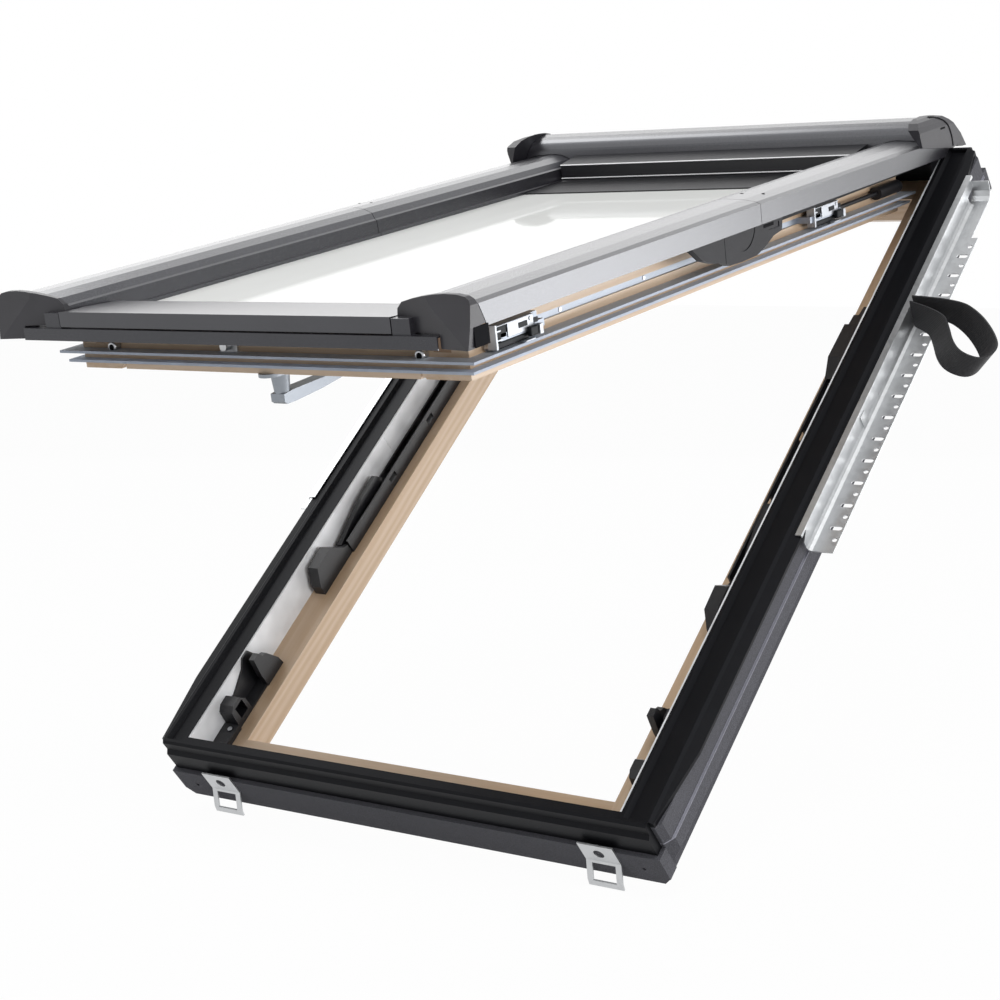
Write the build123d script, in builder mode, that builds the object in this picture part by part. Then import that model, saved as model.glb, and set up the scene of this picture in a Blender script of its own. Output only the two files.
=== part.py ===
from build123d import *
from math import cos, hypot, radians, sin
import os

os.makedirs("parts", exist_ok=True)

# Top-hung and centre-pivot roof window, opened at the bottom, in its roof pitch.
# Local coordinates: x across, u up the slope from the frame's lower edge,
# n outward from the top of the outer cap. The sash is drawn shut and then opened.

# Overall sizes
PITCH = 42.0
OPENING = 31.1
FRAME_W = 780.0
FRAME_H = 1180.0
FRAME_D = 108.0
LIP_X = FRAME_W / 2
ROOM_N = -FRAME_D

# Frame wood
LEDGE_N = -49.0
OPEN_MARGIN = 104.0
OPEN_X = LIP_X - OPEN_MARGIN
WOOD_X = LIP_X - 34.0
RAIL_OUT = 4.0
RAIL_IN = 52.0
ROOM_CHAMFER = 20.0
WALL_X = LIP_X - 59.0
LINING_T = 3.0
LINING_GAP = 1.0
LINING_SEAM_U = FRAME_H / 2 - 25.0
SEAM_W = 0.6
WOOD_TOP = -10.0

# Outer cap of the frame
CAP_X = WALL_X + LINING_T
CAP_LIP_N = -6.0
CAP_RIDGE = 5.0
CAP_VALLEY_IN = 9.0
CAP_VALLEY_OUT = 29.0
CAP_RIDGE_X = 33.0
CAP_FRONT = 8.0
CAP_PLATE_X = LIP_X - 19.0
CAP_STEP_N = -20.0
CAP_STEP = 5.0
CAP_INNER_U = 11.0
CAP_CORNER_X = 13.0
CAP_CORNER_U = 110.0

# Insulation block
BLOCK_FRONT = 14.0
BLOCK_FRONT_X = LIP_X - 14.0
BLOCK_SIDE_X = LIP_X - 4.0
BLOCK_SEAM = 3.0
BLOCK_SEAM_N = -42.0
BLOCK_LOW_N = -62.0
BLOCK_NOTCH_N = -82.0
BLOCK_NOSE_N = -98.0
BLOCK_CORNER = 11.0
BLOCK_HOLE_X = LIP_X - 44.0
BLOCK_HOLE_N = -74.0
BLOCK_HOLE_R = 2.5

# Side mounting brackets
STEEL_T = 1.6
BRACKET_U0 = FRAME_H - 740.0
BRACKET_U1 = FRAME_H - 160.0
BRACKET_N = -31.6
BRACKET_X1 = LIP_X + 35.5
SLOT_PITCH = 38.65
SLOT_COUNT = 14
SLOT_U0 = BRACKET_U0 + 40.0
SLOT_X = LIP_X + 25.0
SLOT_L = 16.0
SLOT_W = 7.0
HOLE_X = LIP_X + 30.0
HOLE_R = 3.2
BRACKET_BEND = 7.0
BRACKET_TAB_U = BRACKET_U0 + 208.0
BRACKET_TAB_L = 14.0
HEAD_BRACKET_U1 = FRAME_H - 60.0
HEAD_FLANGE_U1 = FRAME_H - 90.0
HEAD_BRACKET_X1 = LIP_X + 26.0
STRIP_IN = 7.0

# Carrying strap
STRAP_W = 36.0
STRAP_T = 2.2
STRAP_U = FRAME_H - 318.0
STRAP_FOOT = 4.0
STRAP_LEAN = 30.0
STRAP_REACH = 115.0
STRAP_DROP = 109.0
STRAP_TURN = 16.0
STRAP_CLEAR = 8.0

# Foot clips
CLIP_X = LIP_X - 97.0
CLIP_W = 48.0
CLIP_T = 2.0
CLIP_TOP_N = -40.0
CLIP_BEND_N = -72.0
CLIP_FOOT_N = -101.0
CLIP_FOOT_U = -30.0
CLIP_LEG = 8.0
CLIP_HOLE_R = 7.0

# Fittings on the frame's ledge
FITTING_X0 = LIP_X - 87.0
PLATE_T = 3.0
CORNER_X0 = LIP_X - 84.0
CORNER_U0 = 14.0
CORNER_U1 = 67.0
CORNER_N = -40.0
SCREW_R = 4.0
CATCH_X0 = LIP_X - 82.0
CATCH_U0 = 70.0
CATCH_U1 = 182.0
CATCH_FOOT_U1 = 101.0
CATCH_FOOT_N = -15.0
HOOK_X0 = LIP_X - 84.0
HOOK_X1 = LIP_X - 75.0
STAY_U0 = FRAME_H / 2 - 286.0
STAY_U1 = FRAME_H / 2 - 206.0
STAY_X0 = LIP_X - 84.0
STAY_X1 = LIP_X - 66.0
STAY_ARM_X0 = LIP_X - 76.0
STAY_ARM_X1 = LIP_X - 68.0
STAY_CLEAR = 0.5
RAIL_U1 = FRAME_H / 2 + 146.0
RAIL_TOP_N = -27.0
RAIL_WALL_N = -38.0
RAIL_SLOT_U0 = FRAME_H / 2 - 81.0
RAIL_SLOT_PITCH = 119.0
RAIL_SLOTS = 3
RAIL_SLOT_L = 17.0
RAIL_SLOT_N = (-40.0, -31.0)

# Hinge arms
ARM_X = LIP_X - 74.0
ARM_T = 4.0
ARM_U0 = FRAME_H / 2 - 15.0
ARM_N0 = -10.0
ARM_N1 = 16.0
ARM_PIVOT_U = FRAME_H / 2
ARM_PIVOT_R = 11.0
ARM_PIN_R = 5.0
HINGE_PLATE_U = (FRAME_H - 52.0, FRAME_H - 14.0)
HINGE_PLATE_N = (-32.0, 13.0)

# Sash placing
HINGE_U = FRAME_H - 20.0
HINGE_N = 6.0

# Sash wood
SASH_X = LIP_X - 108.0
SASH_U0 = 61.5
SASH_U1 = FRAME_H - SASH_U0
SASH_ROOM_N = -67.5
SASH_TOP_N = -8.0
SASH_IN = 66.0
SASH_CHAMFER = 8.0
REBATE_IN = 22.0
REBATE_N = -38.0
STRIP_N0 = -33.0
STRIP_N1 = -25.0
STRIP_DEPTH = 4.0

# Glass unit
GLASS_TOP_N = -7.0
PANE_T = 4.0
GLASS_GAP = 2.0
SPACER_W = 10.0
GLASS_X = SASH_X - REBATE_IN - GLASS_GAP
GLASS_U0 = SASH_U0 + REBATE_IN + GLASS_GAP
GLASS_U1 = FRAME_H - GLASS_U0

# Gaskets round the sash
GASKET_UP_N = -46.0
GASKET_LOW_N = -58.0
GASKET_UP_OUT = 20.0
GASKET_LOW_OUT = 13.6
GASKET_T = 3.0

# Sash covers
COVER_X = LIP_X - 50.0
COVER_T = 1.8
COVER_LOW_N = 1.0
COVER_SEAM_U = FRAME_H / 2 + 14.0
COVER_SEAM = 1.0
COVER_U1 = FRAME_H - 4.0
COVER_EDGE_N = 25.5
COVER_CREST_N = 33.0
COVER_IN_X = COVER_X - 92.0

# Bottom caps and covers
CAP_U0 = -14.0
CAP_WALL = 2.5
CAP_BACK_U = 30.0
CAP_LOW_N = -18.0
CAP_SEAM_N = -3.0
CAP_IN_X = COVER_X - 99.0
CAP_OUTER_X = COVER_X - 40.0
SOCKET_X = (COVER_X - 26.0, COVER_X - 6.0)
SOCKET_U1 = 28.0
BAND_GAP = 1.5
BAND_BACK_U = 25.0
LOW_BAND_N0 = -19.0
LOW_BAND_N1 = -5.0
UP_BAND_U0 = -8.0
UP_BAND_N0 = -3.5
UP_BAND_N1 = 14.0
UP_BAND_IN_U = 100.0

# Pivot covers
PIVOT_U0 = FRAME_H / 2 - 153.0
PIVOT_U1 = FRAME_H / 2 + 72.0
PIVOT_SEAM_U = FRAME_H / 2 - 78.0
PIVOT_LOW_N = -35.0
PIVOT_T = 9.0
PIVOT_TUCK = 20.0
CRESCENT_R = 32.0
CRESCENT_W = 2.0
CRESCENT_U = FRAME_H / 2 - 31.0
CRESCENT_N = 8.5
PIVOT_SLOT_U = (FRAME_H / 2 + 35.0, FRAME_H / 2 + 62.0)
PIVOT_SLOT_N = (-9.5, -2.5)

# Hood and top panel
HOOD_X = COVER_X - 18.0
HOOD_SIDE_X = COVER_X + 1.0
HOOD_CAP_X = COVER_X + 6.0
HOOD_SEAM = 0.8
HOOD_T = 2.0
HOOD_U0 = FRAME_H - 72.0
HOOD_U1 = FRAME_H + 44.0
HOOD_LOW_N = 9.5
HOOD_FRONT_N = 41.0
HOOD_CREST_N = 60.5
HOOD_CHEEK_U = FRAME_H - 120.0
PANEL_FOOT_U = FRAME_H - 223.0
PANEL_FOOT_T = 2.0
PANEL_U0 = FRAME_H - 118.0
PANEL_BACK = 18.0
PANEL_TOP_N = 30.0
PANEL_LINE = 2.5

# Locks, rods and catches on the sash
LOCK_U0 = 96.0
LOCK_U1 = 178.0
LOCK_OUT = 18.0
UP_LOCK_U0 = FRAME_H - 370.0
UP_LOCK_U1 = FRAME_H - 280.0
FACEPLATE_T = 1.5
FACEPLATE_U1 = FRAME_H - 250.0
ROD_R = 3.0
ROD_HEAD_R = 9.0
ROD_HEAD_U0 = FRAME_H - 150.0
ROD_U1 = FRAME_H - 80.0
CATCH_X = -48.0
CATCH_W = 26.0
CATCH_N0 = -43.0
CATCH_N1 = -28.0

# Turning handle
HANDLE_U = 84.0
ROSE_L = 58.0
ROSE_W = 28.0
ROSE_T = 4.0
NECK_R = 11.0
NECK_R1 = 9.0
NECK_END_N = -106.0
LEVER_L = 112.0
LEVER_W = 20.0
LEVER_T = 12.0
LEVER_RISE = 10.0
NECK_GAP = 0.4

# Placing
RAIL_MID = (RAIL_OUT + RAIL_IN - ROOM_CHAMFER) / 2
FRAME = Rot(PITCH, 0, 0) * Pos(0, -RAIL_MID, FRAME_D)
SASH = FRAME * Pos(0, HINGE_U, HINGE_N) * Rot(-OPENING, 0, 0) * Pos(0, -HINGE_U, -HINGE_N)
LEFT = -1
RIGHT = 1


def prism(plane, points, length, mode, inset=0):
    with BuildSketch(plane) as outline:
        Polygon(*points, align=None)
        if inset:
            offset(amount=-inset, kind=Kind.INTERSECTION, mode=Mode.REPLACE)
    return extrude(outline.sketch, amount=length, mode=mode)


def bar(place, points, u0, u1, side=RIGHT, mode=Mode.ADD, inset=0):
    # A section in x and n, run up the slope from u0 to u1.
    plane = Plane(place * Pos(0, u1, 0) * Plane.XZ.location)
    return prism(plane, [(side * x, n) for x, n in points], u1 - u0, mode, inset)


def beam(place, points, x0, x1, mode=Mode.ADD):
    # A section in u and n, run across from x0 to x1.
    plane = Plane(place * Pos(x0, 0, 0) * Plane.YZ.location)
    return prism(plane, points, x1 - x0, mode)


def flank(place, points, xs, side, mode=Mode.ADD):
    # The same for a piece on one side, between two distances from the middle.
    low, high = sorted((side * xs[0], side * xs[1]))
    return beam(place, points, low, high, mode)


def slab(place, points, n0, n1, side=RIGHT, mode=Mode.ADD):
    # An outline in x and u, raised from n0 to n1.
    plane = Plane(place * Pos(0, 0, n0))
    return prism(plane, [(side * x, u) for x, u in points], n1 - n0, mode)


def brick(place, xs, us, ns, side=RIGHT, mode=Mode.ADD):
    x0, x1 = xs
    u0, u1 = us
    slab(place, [(x0, u0), (x1, u0), (x1, u1), (x0, u1)], ns[0], ns[1], side, mode)


def rod(place, start, length, radius, turn, mode=Mode.ADD):
    # A round bar from a point, along the z direction of the turn.
    with BuildSketch(Plane(place * Pos(*start) * turn)) as section:
        Circle(radius)
    extrude(section.sketch, amount=length, mode=mode)


def mirror_u(points):
    return [(FRAME_H - u, n) for u, n in points]


def shift(points, step):
    return [(a + step, b) for a, b in points]


def thicken(points, t):
    # The closed outline of a sheet that lies on the right of the running direction.
    normals = []
    for (x0, y0), (x1, y1) in zip(points, points[1:]):
        run = hypot(x1 - x0, y1 - y0)
        normals.append(((y1 - y0) / run, -(x1 - x0) / run))
    inner = []
    for i, (x, y) in enumerate(points):
        a = normals[max(i - 1, 0)]
        b = normals[min(i, len(normals) - 1)]
        share = 1 + a[0] * b[0] + a[1] * b[1]
        inner.append((x + t * (a[0] + b[0]) / share, y + t * (a[1] + b[1]) / share))
    return points + inner[::-1]


def ring(place, x, u0, u1, out, n0, n1):
    # A square ring round the sash, from its wood face outward.
    brick(place, (-x - out, x + out), (u0 - out, u1 + out), (n0, n1))
    brick(place, (-x, x), (u0, u1), (n0, n1), mode=Mode.SUBTRACT)


# Frame wood
JAMB = [
    (OPEN_X, ROOM_N + ROOM_CHAMFER),
    (OPEN_X + ROOM_CHAMFER, ROOM_N),
    (WOOD_X, ROOM_N),
    (WOOD_X, WOOD_TOP),
    (CAP_X, WOOD_TOP),
    (CAP_X, LEDGE_N),
    (OPEN_X, LEDGE_N),
]
RAIL = [
    (RAIL_OUT, ROOM_N),
    (RAIL_IN - ROOM_CHAMFER, ROOM_N),
    (RAIL_IN, ROOM_N + ROOM_CHAMFER),
    (RAIL_IN, LEDGE_N),
    (RAIL_OUT, LEDGE_N),
]

with BuildPart() as frame_left_jamb:
    bar(FRAME, JAMB, RAIL_OUT, FRAME_H - RAIL_OUT, LEFT)
frame_left_jamb.part.label = "frame_left_jamb"

with BuildPart() as frame_right_jamb:
    bar(FRAME, JAMB, RAIL_OUT, FRAME_H - RAIL_OUT, RIGHT)
frame_right_jamb.part.label = "frame_right_jamb"

with BuildPart() as frame_bottom_rail:
    beam(FRAME, RAIL, -OPEN_X, OPEN_X)
frame_bottom_rail.part.label = "frame_bottom_rail"

with BuildPart() as frame_head_rail:
    beam(FRAME, mirror_u(RAIL), -OPEN_X, OPEN_X)
frame_head_rail.part.label = "frame_head_rail"


# Light linings on the inner walls of the jambs
def lining(side):
    brick(FRAME, (WALL_X, CAP_X), (CAP_INNER_U, FRAME_H - CAP_INNER_U), (LEDGE_N, -LINING_GAP), side)
    seam = (LINING_SEAM_U, LINING_SEAM_U + SEAM_W)
    brick(FRAME, (WALL_X, WALL_X + SEAM_W), seam, (LEDGE_N, -LINING_GAP), side, Mode.SUBTRACT)


with BuildPart() as lining_left:
    lining(LEFT)
lining_left.part.label = "lining_left"

with BuildPart() as lining_right:
    lining(RIGHT)
lining_right.part.label = "lining_right"

# Black outer cap, one mitred ring
CAP_JAMB = [
    (CAP_X, WOOD_TOP),
    (CAP_X, 0),
    (CAP_X + CAP_RIDGE, 0),
    (CAP_X + CAP_VALLEY_IN, CAP_LIP_N),
    (CAP_X + CAP_VALLEY_OUT, CAP_LIP_N),
    (CAP_X + CAP_RIDGE_X, 0),
    (CAP_X + CAP_RIDGE_X + CAP_RIDGE, 0),
    (CAP_X + CAP_RIDGE_X + CAP_VALLEY_IN, CAP_LIP_N / 2),
    (LIP_X, CAP_LIP_N),
    (LIP_X, WOOD_TOP),
]
CAP_RAIL = [
    (0, 0),
    (RAIL_OUT, 0),
    (RAIL_OUT, LEDGE_N),
    (-CAP_FRONT, LEDGE_N),
    (-CAP_FRONT, CAP_STEP_N),
    (CAP_STEP - CAP_FRONT, CAP_STEP_N + CAP_STEP),
    (CAP_STEP - CAP_FRONT, CAP_STEP - CAP_FRONT),
]
CAP_UPSTAND = [(RAIL_OUT, LEDGE_N), (RAIL_OUT, 0), (CAP_INNER_U, 0), (CAP_INNER_U, LEDGE_N)]
CAP_CORNER = [(LIP_X - CAP_CORNER_X, 0), (LIP_X, CAP_CORNER_U), (LIP_X + 1, CAP_CORNER_U), (LIP_X + 1, 0)]

with BuildPart() as frame_cap:
    for side in (LEFT, RIGHT):
        bar(FRAME, CAP_JAMB, RAIL_OUT, FRAME_H - RAIL_OUT, side)
        for corner in (CAP_CORNER, [(x, FRAME_H - u) for x, u in CAP_CORNER]):
            slab(FRAME, corner, WOOD_TOP, 0, side, Mode.SUBTRACT)
    for section in (CAP_RAIL, mirror_u(CAP_RAIL)):
        beam(FRAME, section, -CAP_PLATE_X, CAP_PLATE_X)
    for section in (CAP_UPSTAND, mirror_u(CAP_UPSTAND)):
        beam(FRAME, section, -CAP_X, CAP_X)
frame_cap.part.label = "frame_cap"

# Speckled insulation block, one ring
BLOCK_JAMB = [
    (WOOD_X, ROOM_N),
    (WOOD_X + 12, BLOCK_NOSE_N),
    (WOOD_X + 17, BLOCK_NOSE_N + 8),
    (WOOD_X + 14, BLOCK_NOTCH_N),
    (BLOCK_SIDE_X, BLOCK_LOW_N),
    (BLOCK_SIDE_X, BLOCK_SEAM_N),
    (BLOCK_SIDE_X - BLOCK_SEAM, BLOCK_SEAM_N),
    (BLOCK_SIDE_X - BLOCK_SEAM, WOOD_TOP),
    (WOOD_X, WOOD_TOP),
]
BLOCK_RAIL = [
    (RAIL_OUT, LEDGE_N),
    (-BLOCK_FRONT, LEDGE_N),
    (-BLOCK_FRONT, BLOCK_NOSE_N),
    (-BLOCK_FRONT / 2, ROOM_N),
    (RAIL_OUT, ROOM_N),
]
BLOCK_RAIL_CORNER = [
    (WOOD_X, ROOM_N - 1),
    (WOOD_X, ROOM_N),
    (WOOD_X + 19, BLOCK_NOTCH_N - 5),
    (BLOCK_FRONT_X + 1, BLOCK_NOTCH_N - 5),
    (BLOCK_FRONT_X + 1, ROOM_N - 1),
]
BLOCK_SIDE_CORNER = [
    (BLOCK_FRONT_X, RAIL_OUT),
    (BLOCK_SIDE_X, RAIL_OUT + BLOCK_CORNER),
    (BLOCK_SIDE_X + 1, RAIL_OUT + BLOCK_CORNER),
    (BLOCK_SIDE_X + 1, RAIL_OUT - 1),
    (BLOCK_FRONT_X, RAIL_OUT - 1),
]

with BuildPart() as insulation_block:
    for section in (BLOCK_RAIL, mirror_u(BLOCK_RAIL)):
        beam(FRAME, section, -BLOCK_FRONT_X, BLOCK_FRONT_X)
    for side in (LEFT, RIGHT):
        for start, end in ((-BLOCK_FRONT, RAIL_OUT), (FRAME_H - RAIL_OUT, FRAME_H + BLOCK_FRONT)):
            bar(FRAME, BLOCK_RAIL_CORNER, start, end, side, Mode.SUBTRACT)
        bar(FRAME, BLOCK_JAMB, RAIL_OUT, FRAME_H - RAIL_OUT, side)
        for corner in (BLOCK_SIDE_CORNER, [(x, FRAME_H - u) for x, u in BLOCK_SIDE_CORNER]):
            slab(FRAME, corner, ROOM_N, WOOD_TOP, side, Mode.SUBTRACT)
        hole = (side * BLOCK_HOLE_X, -BLOCK_FRONT, BLOCK_HOLE_N)
        rod(FRAME, hole, BLOCK_FRONT / 2, BLOCK_HOLE_R, Rot(-90, 0, 0), Mode.SUBTRACT)
insulation_block.part.label = "insulation_block"


# Perforated steel angles on the frame's sides
def angle_section(reach):
    bend = [(LIP_X + BRACKET_BEND, BRACKET_N), (LIP_X + 2, BRACKET_N + 2), (LIP_X, BRACKET_N + BRACKET_BEND)]
    return thicken([(reach, BRACKET_N)] + bend + [(LIP_X, CAP_LIP_N)], STEEL_T)


def side_bracket(side):
    bar(FRAME, angle_section(BRACKET_X1), BRACKET_U0, BRACKET_U1, side)
    corner = [(BRACKET_U0 - 1, BRACKET_N / 2), (BRACKET_U0 + 2 * BRACKET_BEND, CAP_LIP_N), (BRACKET_U0 - 1, CAP_LIP_N)]
    flank(FRAME, corner, (LIP_X - 1, LIP_X + 2 * STEEL_T), side, Mode.SUBTRACT)
    tab = (LIP_X + STEEL_T, LIP_X + 2 * STEEL_T)
    tab_n = (BRACKET_N + STEEL_T, CAP_LIP_N - STEEL_T)
    brick(FRAME, tab, (BRACKET_TAB_U, BRACKET_TAB_U + BRACKET_TAB_L), tab_n, side)
    with BuildSketch(Plane(FRAME * Pos(0, 0, BRACKET_N - STEEL_T))) as holes:
        for i in range(SLOT_COUNT):
            with Locations((side * SLOT_X, SLOT_U0 + i * SLOT_PITCH)):
                SlotOverall(SLOT_L, SLOT_W)
        for i in range(SLOT_COUNT + 1):
            with Locations((side * HOLE_X, SLOT_U0 + (i - 0.5) * SLOT_PITCH)):
                Circle(HOLE_R)
    extrude(holes.sketch, amount=3 * STEEL_T, mode=Mode.SUBTRACT)


with BuildPart() as side_bracket_left:
    side_bracket(LEFT)
side_bracket_left.part.label = "side_bracket_left"

with BuildPart() as side_bracket_right:
    side_bracket(RIGHT)
side_bracket_right.part.label = "side_bracket_right"


# Plain galvanised angles above them, each with a strip along the frame
def head_bracket(side):
    bar(FRAME, angle_section(HEAD_BRACKET_X1), BRACKET_U1, HEAD_FLANGE_U1, side)
    upturn = [
        (HEAD_FLANGE_U1 - 1, BRACKET_N),
        (HEAD_FLANGE_U1 + 8, BRACKET_N),
        (HEAD_FLANGE_U1 + 16, BRACKET_N + 3),
        (HEAD_FLANGE_U1 + 22, BRACKET_N + 9),
        (HEAD_FLANGE_U1 + 25, CAP_LIP_N - 2),
    ]
    flank(FRAME, thicken(upturn, -STEEL_T), (LIP_X, HEAD_BRACKET_X1), side)
    wall = (LIP_X, LIP_X + STEEL_T)
    brick(FRAME, wall, (BRACKET_U1, HEAD_FLANGE_U1 + 23), (BRACKET_N + 2 * BRACKET_BEND, CAP_LIP_N), side)
    strip_n = (CAP_LIP_N + CAP_RIDGE / 2, CAP_LIP_N + CAP_RIDGE / 2 + STEEL_T)
    brick(FRAME, (LIP_X - STRIP_IN, wall[1]), (BRACKET_U0, HEAD_BRACKET_U1), strip_n, side)
    brick(FRAME, wall, (BRACKET_U0, HEAD_BRACKET_U1), (CAP_LIP_N, strip_n[1]), side)


with BuildPart() as head_bracket_left:
    head_bracket(LEFT)
head_bracket_left.part.label = "head_bracket_left"

with BuildPart() as head_bracket_right:
    head_bracket(RIGHT)
head_bracket_right.part.label = "head_bracket_right"

# Webbing strap, a loop beside the right jamb that leans outward
with BuildPart() as carrying_strap:
    foot_x = LIP_X + STEEL_T
    with BuildSketch(Plane(FRAME * Pos(0, 0, BRACKET_N + STEEL_T))) as loop:
        with BuildLine():
            FilletPolyline(
                (foot_x - STRAP_LEAN, STRAP_U - 2 * STRAP_FOOT),
                (foot_x + 0.2 * STRAP_REACH, STRAP_U - 0.24 * STRAP_DROP),
                (foot_x + 0.35 * STRAP_REACH, STRAP_U - 0.5 * STRAP_DROP),
                (foot_x + 0.48 * STRAP_REACH, STRAP_U - 0.75 * STRAP_DROP),
                (foot_x + 0.66 * STRAP_REACH, STRAP_U - 0.94 * STRAP_DROP),
                (foot_x + 0.93 * STRAP_REACH, STRAP_U - 1.03 * STRAP_DROP),
                (foot_x + 1.04 * STRAP_REACH, STRAP_U - 0.86 * STRAP_DROP),
                (foot_x + 0.92 * STRAP_REACH, STRAP_U - 0.6 * STRAP_DROP),
                (foot_x + 0.66 * STRAP_REACH, STRAP_U - 0.27 * STRAP_DROP),
                (foot_x + 0.32 * STRAP_REACH, STRAP_U - 0.03 * STRAP_DROP),
                (foot_x - STRAP_LEAN, STRAP_U + STRAP_FOOT),
                radius=STRAP_TURN,
                close=False,
            )
            offset(amount=STRAP_T, side=Side.LEFT)
        make_face()
    width = STRAP_W - STEEL_T
    across = Plane(FRAME)
    lean = across.x_dir * STRAP_LEAN + across.z_dir * width
    extrude(loop.sketch, amount=hypot(STRAP_LEAN, width), dir=lean)
    inside_u = (STRAP_U - STRAP_DROP, STRAP_U + STRAP_DROP)
    brick(FRAME, (0, foot_x), inside_u, (ROOM_N, 2 * STRAP_W), mode=Mode.SUBTRACT)
    bend_n = (BRACKET_N, BRACKET_N + STRAP_CLEAR)
    brick(FRAME, (0, LIP_X + STRAP_CLEAR), inside_u, bend_n, mode=Mode.SUBTRACT)
carrying_strap.part.label = "carrying_strap"


# Bright foot clips on the bottom rail
def foot_clip(middle):
    front = -BLOCK_FRONT
    half = CLIP_W / 2
    side_view = [
        (front, CLIP_TOP_N),
        (front, CLIP_BEND_N),
        (CLIP_FOOT_U + CLIP_T, CLIP_FOOT_N + CLIP_LEG),
        (CLIP_FOOT_U, CLIP_FOOT_N),
    ]
    beam(FRAME, thicken(side_view, CLIP_T), middle - half, middle + half)
    window = (middle - half + CLIP_LEG, middle + half - CLIP_LEG)
    brick(FRAME, window, (CLIP_FOOT_U - CLIP_LEG, front + 1), (CLIP_FOOT_N + CLIP_LEG, CLIP_BEND_N - CLIP_T), mode=Mode.SUBTRACT)
    hole = (middle, front - 2 * CLIP_T, (CLIP_TOP_N + CLIP_BEND_N) / 2)
    rod(FRAME, hole, 3 * CLIP_T, CLIP_HOLE_R, Rot(-90, 0, 0), Mode.SUBTRACT)


with BuildPart() as foot_clip_left:
    foot_clip(-CLIP_X)
foot_clip_left.part.label = "foot_clip_left"

with BuildPart() as foot_clip_right:
    foot_clip(CLIP_X)
foot_clip_right.part.label = "foot_clip_right"


# Black fittings in the rebate of the jambs
def corner_plate(side):
    brick(FRAME, (CORNER_X0, WALL_X), (CORNER_U0, CORNER_U1), (LEDGE_N, CORNER_N), side)
    screw = (side * (CORNER_X0 + 9), CORNER_U1 - 9, CORNER_N)
    rod(FRAME, screw, 1, SCREW_R, Rot(0, 0, 0))


with BuildPart() as corner_plate_left:
    corner_plate(LEFT)
corner_plate_left.part.label = "corner_plate_left"

with BuildPart() as corner_plate_right:
    corner_plate(RIGHT)
corner_plate_right.part.label = "corner_plate_right"


def lower_catch(side):
    brick(FRAME, (CATCH_X0, WALL_X), (CATCH_U0, CATCH_U1), (LEDGE_N, LEDGE_N + PLATE_T), side)
    wall = [
        (CATCH_U0, LEDGE_N),
        (CATCH_U0 + 10, -19),
        (CATCH_U0 + 33, -25),
        (CATCH_U0 + 44, -21),
        (CATCH_U0 + 66, -12),
        (CATCH_U0 + 77, -1),
        (CATCH_U0 + 90, -1),
        (CATCH_U1, LEDGE_N),
    ]
    flank(FRAME, wall, (WALL_X - PLATE_T, WALL_X), side)
    hook = [
        (CATCH_U0 + 71, LEDGE_N),
        (CATCH_U0 + 71, -27),
        (CATCH_U0 + 75, 0),
        (CATCH_U0 + 87, 0),
        (CATCH_U0 + 90, -8),
        (CATCH_U0 + 98, -12),
        (CATCH_U1 - 2, -35),
        (CATCH_U1, LEDGE_N),
    ]
    flank(FRAME, hook, (HOOK_X0, HOOK_X1), side)
    brick(FRAME, (HOOK_X1, WALL_X), (CATCH_U1 - 20, CATCH_U1 - 17), (LEDGE_N, -20), side)
    foot = [
        (CATCH_U0 - 3, LEDGE_N),
        (CATCH_U0, CATCH_FOOT_N - 6),
        (CATCH_U0 + 8, CATCH_FOOT_N),
        (CATCH_FOOT_U1 - 8, CATCH_FOOT_N),
        (CATCH_FOOT_U1, -26),
        (CATCH_FOOT_U1, LEDGE_N),
    ]
    flank(FRAME, foot, (CATCH_X0, WALL_X), side)
    eye = (CATCH_U0 + 8, CATCH_FOOT_U1 - 6)
    brick(FRAME, (CATCH_X0 - 1, WALL_X - PLATE_T), eye, (LEDGE_N + 3 * PLATE_T, CATCH_FOOT_N - 2 * PLATE_T), side, Mode.SUBTRACT)


with BuildPart() as lower_catch_left:
    lower_catch(LEFT)
lower_catch_left.part.label = "lower_catch_left"

with BuildPart() as lower_catch_right:
    lower_catch(RIGHT)
lower_catch_right.part.label = "lower_catch_right"


def stay_rail(side):
    run = (STAY_U1 + STAY_CLEAR, RAIL_U1)
    walls = [
        (FITTING_X0, LEDGE_N),
        (FITTING_X0, RAIL_TOP_N),
        (FITTING_X0 + PLATE_T, RAIL_TOP_N),
        (FITTING_X0 + PLATE_T, LEDGE_N + PLATE_T),
        (WALL_X - PLATE_T, LEDGE_N + PLATE_T),
        (WALL_X - PLATE_T, RAIL_WALL_N),
        (WALL_X, RAIL_WALL_N),
        (WALL_X, LEDGE_N),
    ]
    bar(FRAME, walls, run[0], run[1], side)
    for i in range(RAIL_SLOTS):
        start = RAIL_SLOT_U0 + i * RAIL_SLOT_PITCH
        slot_x = (FITTING_X0 - 1, FITTING_X0 + PLATE_T + 1)
        brick(FRAME, slot_x, (start, start + RAIL_SLOT_L), RAIL_SLOT_N, side, Mode.SUBTRACT)
    box = [
        (RAIL_U1, LEDGE_N),
        (RAIL_U1, RAIL_TOP_N),
        (RAIL_U1 + 26, -11),
        (RAIL_U1 + 90, -12),
        (RAIL_U1 + 93, -20),
        (RAIL_U1 + 119, -22),
        (RAIL_U1 + 120, -31),
        (RAIL_U1 + 149, -35),
        (RAIL_U1 + 160, -45),
        (RAIL_U1 + 160, LEDGE_N),
    ]
    flank(FRAME, box, (FITTING_X0, WALL_X), side)
    for start in (RAIL_U1 + 40, RAIL_U1 + 66):
        pocket_x = (FITTING_X0 - 1, FITTING_X0 + PLATE_T)
        brick(FRAME, pocket_x, (start, start + 12), (RAIL_TOP_N, -16), side, Mode.SUBTRACT)


with BuildPart() as stay_rail_left:
    stay_rail(LEFT)
stay_rail_left.part.label = "stay_rail_left"

with BuildPart() as stay_rail_right:
    stay_rail(RIGHT)
stay_rail_right.part.label = "stay_rail_right"


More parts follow.
